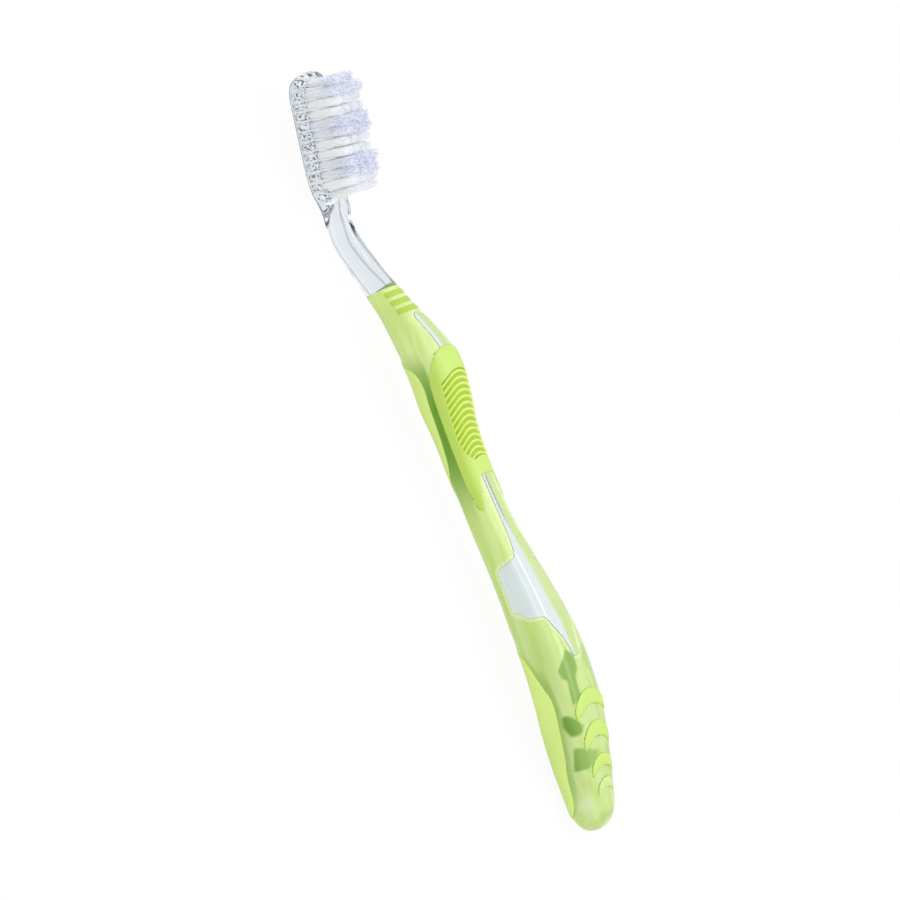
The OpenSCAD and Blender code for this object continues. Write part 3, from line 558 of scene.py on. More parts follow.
def linear(hex_colour):
    """An sRGB hex colour as linear values with alpha 1."""
    s = [int(hex_colour[i:i + 2], 16) / 255 for i in (1, 3, 5)]
    return tuple(c / 12.92 if c <= 0.04045 else ((c + 0.055) / 1.055)**2.4 for c in s) + (1.0,)


def add_node(tree, kind, settings=(), links=()):
    """A node with its settings and incoming links. A setting that is not a property of the node is
    the default of an input. A link is (input, node that feeds it, output)."""
    node = tree.nodes.new("ShaderNode" + kind)
    for key, value in dict(settings).items():
        if isinstance(key, str) and hasattr(node, key):
            setattr(node, key, value)
        else:
            node.inputs[key].default_value = value
    for key, source, output in links:
        tree.links.new(source.outputs[output], node.inputs[key])
    return node


def new_material(name):
    """An empty node material, and the function that adds a node to it."""
    material = bpy.data.materials.new(name)
    material.use_nodes = True
    material.node_tree.nodes.clear()
    return material, partial(add_node, material.node_tree)


def absorbing(colour, path_mm):
    """Colour and density of an absorbing volume that gives the colour over a path of that length:
    each channel dies off as exp(-s x path), and the density is the largest s."""
    s = [-math.log(max(c, 1e-4)) / (path_mm * MM) for c in tuple(colour)[:3]]
    density = max(s) * 1.05
    return tuple(1 - c / density for c in s) + (1.0,), density


def relief(add, scale, detail, strength, depth, stretch=None):
    """A fine relief on the piece's own coordinates: a noise with that many waves to the metre, or in each
    direction where it is stretched, and a bump of it of a depth in metres. Both nodes."""
    place, output = add("TexCoord"), "Object"
    if stretch:
        place, output = add("Mapping", {"Scale": stretch}, [("Vector", place, "Object")]), 0
    noise = add("TexNoise", {"Scale": scale, "Detail": detail}, [("Vector", place, output)])
    return noise, add("Bump", {"Strength": strength, "Distance": depth}, [("Height", noise, 0)])


def clouded(add, scale, first, second):
    """A colour that drifts between two in soft clouds."""
    coord = add("TexCoord")
    cloud = add("TexNoise", {"Scale": scale, "Detail": 2.0}, [("Vector", coord, "Object")])
    return add("Mix", {"data_type": "RGBA", 6: first, 7: second}, [(0, cloud, 0)])


def marked(add, colour, marks):
    """A colour with others over it, each as strong as the attribute of its name says."""
    for name, other in marks:
        amount = add("Attribute", {"attribute_name": name})
        colour = add("Mix", {"data_type": "RGBA", 7: other}, [(0, amount, "Fac"), (6, colour, 2)])
    return colour


def lit_through(add, body, colour, share):
    """The body, with a share of it replaced by light that passes through in the given colour."""
    glow = add("BsdfTranslucent", {}, [("Color", colour, 2)])
    return add("MixShader", {0: share}, [(1, body, 0), (2, glow, 0)])


def light_passes(add, surface, colour, amount):
    """The surface, but a share of the light of the lamps goes straight through it, tinted."""
    path = add("LightPath")
    share = add("Math", {"operation": "MULTIPLY", 1: amount}, [(0, path, "Is Shadow Ray")])
    tinted = add("BsdfTransparent", {"Color": colour})
    return add("MixShader", {}, [(0, share, 0), (1, surface, 0), (2, tinted, 0)])


def over_next_shot(add, surface, shadow_colour, depth_colour, path_mm):
    """The output of a shot that touches another: the surface is see-through on the bonded faces and lets
    tinted light pass to what is inside, and the body absorbs light over its depth."""
    free = light_passes(add, surface, shadow_colour, 0.9)
    bonded = add("Attribute", {"attribute_name": "bonded"})
    through = add("BsdfTransparent")
    seen = add("MixShader", {}, [(0, bonded, "Fac"), (1, free, 0), (2, through, 0)])
    tint, density = absorbing(depth_colour, path_mm)
    volume = add("VolumeAbsorption", {"Color": tint, "Density": density})
    add("OutputMaterial", {}, [("Surface", seen, 0), ("Volume", volume, 0)])


def clear_plastic(colours):
    """Clear styrene acrylonitrile, injection moulded in a polished tool: sharp gloss, a cold grey tint
    where it is thick, and faint flow lines along the brush. Thin grey lines are painted along the
    neck's refracted edge, a painted refraction, and along the first part of the window, a painted
    reflection. The walls of the tuft holes are uneven, so they sparkle, and the white roots of the tufts
    against them have a painted glow, an emission that stands for the light caught in the head, between
    small painted dark glints. The window faces are finely matted: pale on their flanks, and along the
    middle a painted see-through green of the jacket behind."""
    material, add = new_material("clear_san_polished")
    bump = relief(add, 1.0, 2.0, 0.05, 0.0003, (25, 700, 700))[1]
    line, bore, middle, window = (add("Attribute", {"attribute_name": name})
                                  for name in ("line", "bore", "middle", "window"))
    # Painted refraction: the grey line colour is mixed into the tint along the neck's refracted edge
    tone = add("Mix", {"data_type": "RGBA", 6: colours.clear, 7: colours.clear_line}, [(0, line, "Fac")])
    body = add("BsdfPrincipled", {"Roughness": 0.02, "IOR": 1.5, "Transmission Weight": 1.0},
               [("Base Color", tone, 2), ("Normal", bump, 0)])
    marks, dents = relief(add, 1900.0, 1.0, 1.0, 0.0008)
    # Painted dark glints and a painted glow in the tuft holes: where the noise is low the walls take the
    # dark glint colour, elsewhere their white gives off light as an emission
    lit = add("MapRange", {"From Min": 0.4, "From Max": 0.47}, [("Value", marks, 0)])
    glint = add("Mix", {"data_type": "RGBA", 6: colours.clear_painted_glint, 7: colours.clear}, [(0, lit, 0)])
    glow = add("Math", {"operation": "MULTIPLY", 1: 0.55}, [(0, lit, 0)])
    silver = add("BsdfAnisotropic", {"Roughness": 0.06}, [("Color", glint, 2), ("Normal", dents, 0)])
    root = add("BsdfPrincipled", {"Roughness": 0.3, "Emission Color": colours.white},
               [("Base Color", glint, 2), ("Emission Strength", glow, 0)])
    wall = add("MixShader", {0: 0.4}, [(1, silver, 0), (2, root, 0)])
    head = add("MixShader", {}, [(0, bore, "Fac"), (1, body, 0), (2, wall, 0)])
    # Painted see-through: the green of the jacket painted along the window's middle, the near flank left
    # pale
    pale = add("Mix", {"data_type": "RGBA", 6: colours.window, 7: colours.window_painted_middle},
               [(0, middle, "Fac")])
    # Painted reflection: a thin grey line painted along the first part of the window
    pale = add("Mix", {"data_type": "RGBA", 7: colours.clear_line}, [(0, line, "Fac"), (6, pale, 2)])
    matted = add("BsdfPrincipled", {"Roughness": 0.12, "IOR": 1.25, "Transmission Weight": 0.25,
                                    "Coat Weight": 1.0, "Coat Roughness": 0.03},
                 [("Base Color", pale, 2), ("Normal", bump, 0)])
    skin_mix = add("MixShader", {}, [(0, window, "Fac"), (1, head, 0), (2, matted, 0)])
    over_next_shot(add, skin_mix, colours.clear, colours.clear_depth, 6)
    return material


def green_plastic(colours):
    """Translucent tinted polypropylene, moulded over the core: a gloss skin over a milky body that glows
    pale lime, with paler streaks along the brush painted as soft highlights. Painted shade makes it a
    deeper green in the hollow band and along the back grip. It is palest round the windows, where the
    cut walls catch the light and painted light lies on the skin next to them, and a painted see-through
    green shows the insert behind it."""
    material, add = new_material("tinted_polypropylene")
    noise, bump = relief(add, 1.0, 3.0, 0.06, 0.0003, (24, 360, 360))
    # Painted highlights: paler streaks along the brush from a stretched noise
    streaks = add("MapRange", {"From Min": 0.38, "From Max": 0.64}, [("Value", noise, 0)])
    milk = add("Mix", {"data_type": "RGBA", 6: colours.jacket, 7: colours.jacket_light}, [(0, streaks, 0)])
    milk = marked(add, milk, (("shade", colours.jacket_deep), ("border", colours.cut_edge),
                              ("under", colours.jacket_painted_insert)))
    body = add("BsdfPrincipled", {"Roughness": 0.3, "IOR": 1.3, "Transmission Weight": 0.26,
                                  "Coat Weight": 0.6, "Coat Roughness": 0.25},
               [("Base Color", milk, 2), ("Normal", bump, 0)])
    lit = add("BsdfTranslucent", {"Color": colours.cut_edge})
    face = add("BsdfPrincipled", {"Base Color": colours.jacket_light, "Roughness": 0.3})
    cut = add("MixShader", {0: 0.4}, [(1, face, 0), (2, lit, 0)])
    rim = add("Attribute", {"attribute_name": "rim"})
    skin_mix = add("MixShader", {}, [(0, rim, "Fac"), (1, body, 0), (2, cut, 0)])
    over_next_shot(add, skin_mix, colours.jacket_depth, colours.jacket_depth, 4)
    return material


def soft_rubber(colours, main, gloss=0.42):
    """Thermoplastic rubber, moulded in a finely eroded tool: satin, a little light goes through it. The
    valleys between the ribs and the flanks of the thumb pad get a painted shade of deeper lime, and the
    thin crests a painted highlight in the palest colour."""
    material, add = new_material("soft_thermoplastic_rubber")
    bump = relief(add, 4000.0, 2.0, 0.12, 0.00004)[1]
    # Painted shade of deeper lime in the valleys and on the flanks, and a painted highlight on the crests
    colour = marked(add, clouded(add, 90.0, main, colours.rubber_light),
                    (("shade", colours.rubber_deep), ("crest", colours.rubber_crest_highlight)))
    body = add("BsdfPrincipled", {"Roughness": gloss, "IOR": 1.5},
               [("Base Color", colour, 2), ("Normal", bump, 0)])
    add("OutputMaterial", {}, [("Surface", lit_through(add, body, colour, 0.22), 0)])
    return material


def key_plastic(colours):
    """Deep green polypropylene of the insert: satin, and light goes through it to the core below."""
    material, add = new_material("deep_green_polypropylene")
    colour = clouded(add, 160.0, colours.key, colours.key_light)
    body = add("BsdfPrincipled", {"Roughness": 0.35, "IOR": 1.49}, [("Base Color", colour, 2)])
    add("OutputMaterial", {}, [("Surface", lit_through(add, body, colour, 0.35), 0)])
    return material


def nylon(name, colour, tip):
    """Drawn nylon filament: smooth, with light passing through it, so that a tuft glows inside. Towards
    the tips the colour is a little deeper, in specks."""
    material, add = new_material(name)
    coord = add("TexCoord")
    cloud = add("TexNoise", {"Scale": 1500.0, "Detail": 1.0}, [("Vector", coord, "Object")])
    shade = add("Attribute", {"attribute_name": "shade"})
    specks = add("MapRange", {"From Min": 0.45, "From Max": 0.65}, [("Value", cloud, 0)])
    amount = add("Math", {"operation": "MULTIPLY"}, [(0, shade, "Fac"), (1, specks, 0)])
    tint = add("Mix", {"data_type": "RGBA", 6: colour, 7: tip}, [(0, amount, 0)])
    body = add("BsdfPrincipled", {"Roughness": 0.3, "IOR": 1.53}, [("Base Color", tint, 2)])
    surface = light_passes(add, lit_through(add, body, tint, 0.5), (1, 1, 1, 1), 0.97)
    add("OutputMaterial", {}, [("Surface", surface, 0)])
    return material


def nickel_silver(colours):
    """Rolled nickel silver strip, cut and driven: bright, with rolling lines along the strip."""
    material, add = new_material("nickel_silver_strip")
    bump = relief(add, 1.0, 1.0, 0.2, 0.00001, (600, 600, 9000))[1]
    body = add("BsdfPrincipled", {"Base Color": colours.anchor, "Metallic": 1.0, "Roughness": 0.28},
               [("Normal", bump, 0)])
    add("OutputMaterial", {}, [("Surface", body, 0)])
    return material


def length(name, description, size, low, high):
    """A length property from sizes in millimetres."""
    return bpy.props.FloatProperty(name=name, description=description, default=size * MM, min=low * MM,
                                   max=high * MM, unit="LENGTH", precision=5)


def colour(name, description, hex_colour):
    """A colour property from an sRGB hex colour."""
    return bpy.props.FloatVectorProperty(name=name, description=description, default=linear(hex_colour),
                                         subtype="COLOR", size=4, min=0, max=1)


class BrushSizes(bpy.types.PropertyGroup):
    """Sizes of the moulded and tufted pieces that can be changed."""
    jacket_wall: length("Jacket wall", "Thickness of the green jacket", 1.5, 1, 2)
    pad_proud: length("Pad height", "Height of the soft pads above the jacket", 0.3, 0.1, 0.5)
    groove: length("Thumb groove", "Depth of the grooves between the thumb ribs", 0.42, 0.1, 0.6)
    filament_d: length("Filament", "Diameter of a bristle filament", 0.17, 0.1, 0.3)
    white_h: length("White tufts", "Height of the white tufts above the face", 9, 7, 11)
    blue_h: length("Blue tufts", "Height of the blue tufts above the face", 9.8, 7, 11)
    crimp: length("Crimp", "Half height of the waves of the blue filaments", 0.09, 0, 0.2)
    crimp_pitch: length("Crimp pitch", "Length of a wave of the blue filaments", 1.3, 0.8, 3)
    filament_rings: bpy.props.IntProperty(
        name="Filament rings", description="Rings of filaments round the middle one of a tuft",
        default=4, min=1, max=5)


class BrushColours(bpy.types.PropertyGroup):
    """Colours of the plastics, the nylon and the metal."""
    clear: colour("Clear skin", "Tint of the clear plastic's skin", "#F6F8FA")
    # Grey of the painted lines: a painted refraction along the neck, a painted reflection along the window
    clear_line: colour("Clear line", "Colour of the refracted edges", "#8A9298")
    # Colour of the painted dark glints in the tuft holes
    clear_painted_glint: colour("Clear glint", "Colour of the dark glints in the tuft holes", "#6A7076")
    clear_depth: colour("Clear depth", "Colour of white light after 6 mm of clear plastic", "#EEF1F4")
    window: colour("Window", "Colour of the flanks of the matted windows", "#DFE6EC")
    # Green of the painted see-through along the middle of the windows
    window_painted_middle: colour("Window middle", "Colour along the middle of the matted windows", "#CADF92")
    jacket: colour("Jacket", "Colour of the green plastic", "#D3EA88")
    # Colour of the streaks painted as soft highlights, and of the faces of the cut walls
    jacket_light: colour("Light jacket", "Lighter flow clouds in the green plastic", "#E6F8AC")
    # Deep green of the painted shade on the jacket: hollow band, back strip's edge, far and low edges
    jacket_deep: colour("Deep jacket", "Colour of the green plastic in the hollow band", "#6EA600")
    # Green of the painted see-through of the insert on the jacket
    jacket_painted_insert: colour("Jacket over the insert", "Colour of the plastic where the insert shows", "#68A000")
    jacket_depth: colour("Jacket depth", "Colour of white light after 4 mm of green plastic", "#DFF0BC")
    # Pale colour of the painted light round the openings, and of the light through the cut walls
    cut_edge: colour("Cut edge", "Colour of the green plastic round the windows", "#EAF8C2")
    rubber: colour("Rubber", "Colour of the soft pads", "#CBE873")
    rubber_light: colour("Light rubber", "Lighter clouds in the soft pads", "#D3ED80")
    # Deeper lime of the painted shade between the thumb ribs and on the pad's flanks, and the neck ribs'
    # tone
    rubber_deep: colour("Deep rubber", "Colour between the thumb ribs", "#ADCC0A")
    # Colour of the painted highlight on the thin crests of the thumb ribs
    rubber_crest_highlight: colour("Rib crests", "Colour of the thin crests of the thumb ribs", "#F2FF92")
    # Lighter copy of the rubber for the back strip: painted light
    rubber_back_lit: colour("Back rubber", "Colour of the back strip", "#E8FD98")
    rubber_pale: colour("Pale rubber", "Colour of the last crescent", "#D6EBA2")
    key: colour("Insert", "Colour of the insert in the tail", "#6FAE2A")
    key_light: colour("Light insert", "Lighter clouds in the insert", "#86BE3C")
    white: colour("White nylon", "Colour of the white filaments", "#FFFFFF")
    white_tip: colour("White tips", "Colour of the tips of the white filaments", "#F1F4FA")
    blue: colour("Blue nylon", "Colour of the lavender blue filaments", "#FBFCFF")
    blue_tip: colour("Blue tips", "Colour of the tips of the blue filaments", "#DDE1F2")
    anchor: colour("Anchor", "Colour of the nickel silver anchors", "#D6D6DA")


def tuft_places(row):
    """Distances across the face of the tufts of a row: three in the end rows, four in the others."""
    steps = (-1, 0, 1) if row in (1, 12) else (-1.5, -0.5, 0.5, 1.5)
    return [s * COLUMN_PITCH for s in steps]


def on_face(row, y, local):
    """Points given along, across and out of the tufted face, put at a tuft's hole, in metres."""
    s = FIRST_ROW / math.cos(TILT) + (row - 1) * ROW_PITCH
    x = (s + local[..., 0]) * math.cos(TILT) + local[..., 2] * math.sin(TILT)
    z = face_z(0) - (s + local[..., 0]) * math.sin(TILT) + local[..., 2] * math.cos(TILT)
    return np.stack([x - BRUSH_L / 2, y + local[..., 1], z - REST_Z], -1) * MM


def hole_cutter(row, y):
    """A round bar of 24 sides through a tuft hole, from above the face down to the hole's bottom."""
    a = np.radians(np.arange(24) * 15)
    levels = np.array([-HOLE_DEPTH, HOLE_DEPTH * 0.4])
    x, z = HOLE_D / 2 * np.cos(a), levels[:, None]
    ring = np.stack(np.broadcast_arrays(x, HOLE_D / 2 * np.sin(a), z), -1)
    return loft(on_face(row, y, ring))


class BRUSH_OT_core(bpy.types.Operator):
    """Build the clear core: head, neck, the spine under the jacket and the windows"""
    bl_idname = "brush.core"
    bl_label = "Clear core"

    def execute(self, context):
        sizes, colours = context.scene.brush_sizes, context.scene.brush_colours
        wall = sizes.jacket_wall / MM
        end = BRUSH_L - wall
        head_end = 7.5
        head = (1 - np.cos(even(0.03, math.pi / 2, 22))) * head_end
        x = rows_along(WINDOW_ROWS + [
            (head_end, JACKET_X, 90), (JACKET_X, ROUND_X, 150), (SLIT_X, SLIT_X + 0.01, 1),
            (SLIT_END_X - 0.01, SLIT_END_X, 1)], head, tail_rows(end))
        front = np.searchsorted(x, JACKET_X)
        x = np.insert(x, front, JACKET_X)
        d = np.where(np.arange(len(x)) <= front, 0.0, -wall)
        w = window_half_angle(x)
        raised = np.where(w > 0, 0.0, d)
        w = np.where(w > 0, w, STRIP_ANGLE)[:, None]
        across = even(-1, 1, 24)
        plateau = 90 + w * across
        edge = np.where(np.abs(across) > 0.999, STRIP_SUNK, 0)
        sunk = np.where((raised == 0) & (d < 0), 1, 0)[:, None] * edge
        plateau_d = np.broadcast_to(raised[:, None], plateau.shape) - sunk
        plateau_d = np.minimum(plateau_d, np.where(d[:, None] < 0, -seat_depth(x[:, None], plateau), 0))
        sides = 90 + w + (360 - 2 * w) * even(0, 1, 72)
        t = np.hstack([plateau, sides])
        depth = np.hstack([plateau_d, np.broadcast_to(d[:, None], sides.shape)])
        verts, faces = loft(skin(x[:, None], t, depth))
        core = make_piece("clear_core", verts, faces, clear_plastic(colours), "clear_plastic",
                          ["handle_core"], merge=True)
        self.drill(context, core)
        mark_skin(core.data, 0.3, every=False)
        self.tint(core.data)
        finish_mesh(core.data, 40)
        return {"FINISHED"}

    def tint(self, mesh):
        """Where the window gets a painted see-through green of the jacket behind it, and where the painted
        grey lines are: bell curves across the refracted edge of the neck, a painted refraction, and across
        the middle of the window's first part, a painted reflection."""
        x, y, _, _, _, co = local_places(mesh)
        a, s = side_view(co)
        # Where the painted see-through green lies: along the window's middle and towards its far side
        add_shade(mesh, ramp_down(-y, 0.5, 1.0) * ramp_down(y, 5.0, 5.6), "middle")
        # Painted refraction along the neck's far edge, and a painted reflection along the window's first
        # part
        neck = np.exp(-((s - NECK_LINE(a)) / 0.25)**2) * ramp_down(-a, 62, 66) * ramp_down(a, -42, -40)
        strip = np.exp(-((y + 0.85) / 0.26)**2) * ramp_down(-x, -WINDOW_X - 1.5, -WINDOW_X)
        strip = strip * ramp_down(x, 111, 119)
        add_shade(mesh, np.maximum(neck, strip), "line")

    def drill(self, context, core):
        """Cut a round hole for each tuft into the head."""
        verts, faces = join([hole_cutter(row, y) for row in ROWS for y in tuft_places(row)])
        cutter_mesh = bpy.data.meshes.new("hole_bars")
        cutter_mesh.from_pydata(verts.tolist(), [], outward(verts, faces).tolist())
        cutter = bpy.data.objects.new("hole_bars", cutter_mesh)
        context.scene.collection.objects.link(cutter)
        drill = core.modifiers.new("tuft_holes", "BOOLEAN")
        drill.operation, drill.solver, drill.object = "DIFFERENCE", "EXACT", cutter
        drilled = bpy.data.meshes.new_from_object(core.evaluated_get(context.evaluated_depsgraph_get()))
        core.modifiers.clear()
        core.data = drilled
        bpy.data.objects.remove(cutter)


class BRUSH_OT_jacket(bpy.types.Operator):
    """Build the green jacket with its clear openings, hollow bands and seats"""
    bl_idname = "brush.jacket"
    bl_label = "Green jacket"

    def execute(self, context):
        sizes, colours = context.scene.brush_sizes, context.scene.brush_colours
        ribs = [(start - 0.02, start + NECK_RIB_L + 0.02, 8) for start in NECK_RIBS]
        runs = [(JACKET_X, ROUND_X, 160), (KEY_X, ROUND_X, 80), (JACKET_X, JACKET_X + 0.3, 3)]
        x = rows_along(ribs + runs + WINDOW_ROWS, tail_rows(BRUSH_L))[:, None]
        w = window_half_angle(x)
        chamfer = CHAMFER_W / mm_per_degree(x)
        start = 90 + w + chamfer
        left = start + (200 - start) * even(0, 1, 32)
        back = np.broadcast_to(even(200, 340, 40)[1:-1], (len(x), 39))
        t = np.hstack([90 + w, left, back, 540 - left[:, ::-1], 450 - w])
        d = -seat_depth(x, t) - hollow(x, t)
        lip = np.zeros(t.shape[1])
        lip[[0, -1]] = CHAMFER_D
        d = d - np.where(w > 0, lip, 0)
        d = np.where(x < JACKET_X + 0.05, np.minimum(d, -FRONT_SUNK), d)
        index = np.arange(t.size).reshape(t.shape)
        index[:, -1] = np.where(w[:, 0] > 0, index[:, -1], index[:, 0])
        wall = sizes.jacket_wall / MM
        bend = 180
        inner_x = np.interp(x, [JACKET_X, bend, BRUSH_L], [JACKET_X, bend, BRUSH_L - wall])
        verts, faces = slab(skin(x, t, d), skin(inner_x, t, -wall), index, cap_row=-1)
        jacket = make_piece("green_jacket_shell", verts, faces, green_plastic(colours), "green_plastic",
                            ["green_jacket"])
        mark_skin(jacket.data, 0.6, every=True)
        self.tint(jacket.data)
        return {"FINISHED"}

    def tint(self, mesh):
        """Where the plastic is a deeper green: painted shade in the hollow band, along the back strip's
        edge, and on the far and the low edge of the body, which look darker from the camera's side; also a
        darker spot near the tail's end, and darker towards the tail. Where it is pale: painted light round
        the openings, and a pale spot at the low side of the tail. And a painted see-through of the insert,
        less on the far side."""
        x, y, t, _, _, co = local_places(mesh)
        side = 90 - np.abs(90 - np.where(t < -90, t + 360, t))
        a, s = side_view(co)
        # Painted shade: the deep green of the hollow band between the pads
        band = HOLLOW_BAND(x) * ramp_down(side, 4, 9)
        # Painted shade along the back strip's edge
        seam_shade = 0.4 * ramp_down(np.abs(side + BACK_EDGE(x)) * mm_per_degree(x), 0.3, 1.8)
        seam_shade = seam_shade * (x > BACK_X) * (x < BACK_END_X)
        end = 0.4 * np.exp(-((a - 92.8) / 1.8)**2 - ((s - 3.5) / 2.5)**2)
        # Painted shade on the far and the low edges, which look darker from the camera's side
        far_edge_shade = 0.3 * np.exp(-((side - 38) / 13)**2) * ramp_down(-y, -1, 0)
        low_edge_shade = 0.3 * np.exp(-((side + 52) / 14)**2)
        body = 0.15 * ramp_down(-x, -140, -105)
        add_shade(mesh, np.maximum.reduce([band, seam_shade + body, end, far_edge_shade + body, low_edge_shade + body]))
        # Painted light: pale round the openings, and a pale spot at the low side of the tail
        pale = 0.8 * np.exp(-((a - 89) / 2.4)**2 - (s / 2)**2)
        add_shade(mesh, np.maximum(0.8 * ramp_down(window_border(x, t), 0.5, 1.1), pale), "border")
        # Painted see-through: the insert, as seen through the jacket from one view, painted on its skin
        add_shade(mesh, insert_seen(a, s) * (0.3 + 0.7 * ramp_down(y, 0, 1)), "under")


class BRUSH_OT_thumb_grip(bpy.types.Operator):
    """Build the soft thumb pad with its curved ribs"""
    bl_idname = "brush.thumb_grip"
    bl_label = "Thumb grip"

    def execute(self, context):
        sizes, colours = context.scene.brush_sizes, context.scene.brush_colours
        v, rise_v = self.across()
        edge = THUMB_EDGE - 1
        t = edge + (180 - 2 * edge) * v
        a = 90 - np.abs(90 - t)
        y = CREST_W / 2 * np.abs(np.cos(np.radians(t)))**(2 / 3.0)
        sag = RIB_RADIUS - np.sqrt(RIB_RADIUS**2 - y**2)
        first, last = RIB_X + RIB_SHIFT + sag, RIB_END_X + RIB_SHIFT + sag
        nose = THUMB_NOSE_X - 3 * LAP + NOSE_RUN * NOSE(a)
        tail = THUMB_TAIL_X + 3 * LAP + TONGUE_L * TONGUE(a)
        q, rise = rounding(6)
        rise = np.concatenate([rise, np.ones(10)])
        along = np.concatenate([q * 0.1, even(0.1, 1, 10)[1:]])[:, None]
        head_part = nose + (first - nose) * along
        phases = even(0, RIB_COUNT, RIB_COUNT * RIB_STEPS)[1:-1, None]
        rib_part = first + phases * RIB_PITCH
        tail_part = last + (tail - last) * (1 - along[::-1])
        x = np.vstack([head_part, rib_part, tail_part])
        height = np.concatenate([rise, np.ones(len(phases)), rise[::-1]])[:, None] * rise_v
        number = np.clip((x - first) / RIB_PITCH, 0, RIB_COUNT)
        p = number - np.floor(number)
        ridge = np.exp(-(((p - 0.5) / RIDGE_W)**2))
        reach = np.interp(RIB_COUNT - number, *RIB_REACH)
        inside = np.clip((reach - np.abs(90 - t)) / 5, 0, 1) * (number > 0) * (number < RIB_COUNT)
        inside = inside * inside * (3 - 2 * inside)
        d = sizes.pad_proud / MM * height - sizes.groove / MM * (1 - ridge) * inside * height
        d = d + RIDGE_H * ridge * inside
        top = skin(x, np.broadcast_to(t, x.shape), d - EDGE_SUNK * (1 - height))
        bottom = skin(x, np.broadcast_to(t, x.shape), PAD_BOTTOM)
        pad = make_piece("thumb_pad", *slab(top, bottom), soft_rubber(colours, colours.rubber), "soft_lime",
                         ["thumb_grip"], sharp=50)
        under = np.zeros(top.shape[0] * top.shape[1])
        # Painted shade on the pad's flanks towards the sides, and in the valleys between the ribs
        flank_shade = 0.38 * ramp_down(a, 15, 60)
        add_shade(pad.data, np.concatenate([np.maximum((1 - ridge) * inside, flank_shade).ravel(), under]))
        # Painted highlight on the crests of the ribs
        add_shade(pad.data, np.concatenate([(ridge * inside).ravel(), under]), "crest")
        return {"FINISHED"}

    def across(self):
        """Shares across the pad, crowded at its edges, and the rise of the rounded edge there."""
        q, rise = rounding(6)
        v = np.concatenate([q * 0.02, even(0.02, 0.98, 84)[1:-1], 1 - q[::-1] * 0.02])
        rise = np.concatenate([rise, np.ones(83), rise[::-1]])
        return v[None, :], rise[None, :]


class BRUSH_OT_back_grip(bpy.types.Operator):
    """Build the soft strip along the back"""
    bl_idname = "brush.back_grip"
    bl_label = "Back grip"

    def execute(self, context):
        sizes, colours = context.scene.brush_sizes, context.scene.brush_colours
        q, margin = rounding(8)[0], 1.2
        x = np.concatenate([BACK_X + q * margin, even(BACK_X + margin, BACK_END_X - margin, 220)[1:-1],
                            BACK_END_X - q[::-1] * margin])[:, None]
        rise_x = np.clip(np.minimum(x - BACK_X, BACK_END_X - x) / PAD_ROUND, 0, 1)
        e = BACK_EDGE(x)
        width = (180 - 2 * e) * mm_per_degree(x)
        o = np.minimum(PAD_ROUND / width, 0.4)
        q, rise = rounding(5)
        v = np.hstack([q * o, o + (1 - 2 * o) * even(0, 1, 44)[1:-1], 1 - q[::-1] * o])
        rise = np.concatenate([rise, np.ones(43), rise[::-1]])
        e = e - LAP / mm_per_degree(x)
        t = 180 + e + (180 - 2 * e) * v
        height = np.sqrt(1 - (1 - rise_x)**2) * rise
        top = skin(x, t, sizes.pad_proud / MM * height - EDGE_SUNK * (1 - height))
        # The back strip takes a lighter copy of the rubber's colour: painted light, as it faces away from
        # the lamps
        rubber = soft_rubber(colours, colours.rubber_back_lit)
        make_piece("back_pad", *slab(top, skin(x, t, PAD_BOTTOM)), rubber, "soft_lime", ["back_grip"],
                   sharp=50)
        return {"FINISHED"}


class BRUSH_OT_neck_ribs(bpy.types.Operator):
    """Build the small soft ribs behind the jacket's front edge"""
    bl_idname = "brush.neck_ribs"
    bl_label = "Neck ribs"

    def execute(self, context):
        sizes, colours = context.scene.brush_sizes, context.scene.brush_colours
        a = even(0, math.pi, 14)
        u = (1 - np.cos(a))[:, None] / 2
        t = 90 + NECK_RIB_ANGLE * np.sin(even(-math.pi / 2, math.pi / 2, 40))[None, :]
        height = np.sin(a)[:, None] * np.sqrt(np.clip(1 - (np.abs(90 - t) / NECK_RIB_ANGLE)**6, 0, 1))
        wide = NECK_RIB_L + 2 * LAP
        parts = [slab(skin(start - LAP + wide * u, t, sizes.pad_proud / MM * 0.45 * height),
                      skin(start - LAP + wide * u, t, PAD_BOTTOM)) for start in NECK_RIBS]
        ribs = make_piece("neck_rib_pads", *join(parts), soft_rubber(colours, colours.rubber, 0.2),
                          "soft_lime", ["neck_ribs"], sharp=50)
        add_shade(ribs.data, np.full(len(ribs.data.vertices), 0.6))
        return {"FINISHED"}


class BRUSH_OT_tail_key(bpy.types.Operator):
    """Build the insert in the tail: a leaf on a stem that spreads under the crescents"""
    bl_idname = "brush.tail_key"
    bl_label = "Tail key"

    def execute(self, context):
        colours = context.scene.brush_colours
        x = even(KEY_X, KEY_END_X, 150)[:, None]
        v = even(-1, 1, 20)[None, :]
        front = skin(x, 90.0)[..., 2]
        y = KEY_HALF_W(x) * v
        crown = KEY_CROWN * (1 - v**4)
        place = np.broadcast_to(x - BRUSH_L / 2, y.shape) * MM
        top = np.stack([place, y * MM, front + (-KEY_TOP - KEY_CROWN + crown) * MM], -1)
        bottom = np.stack([place, y * MM, np.broadcast_to(front - KEY_BOTTOM * MM, y.shape)], -1)
        make_piece("tail_key_insert", *slab(top, bottom), key_plastic(colours), "dark_green_plastic",
                   ["tail_key"], sharp=35)
        return {"FINISHED"}


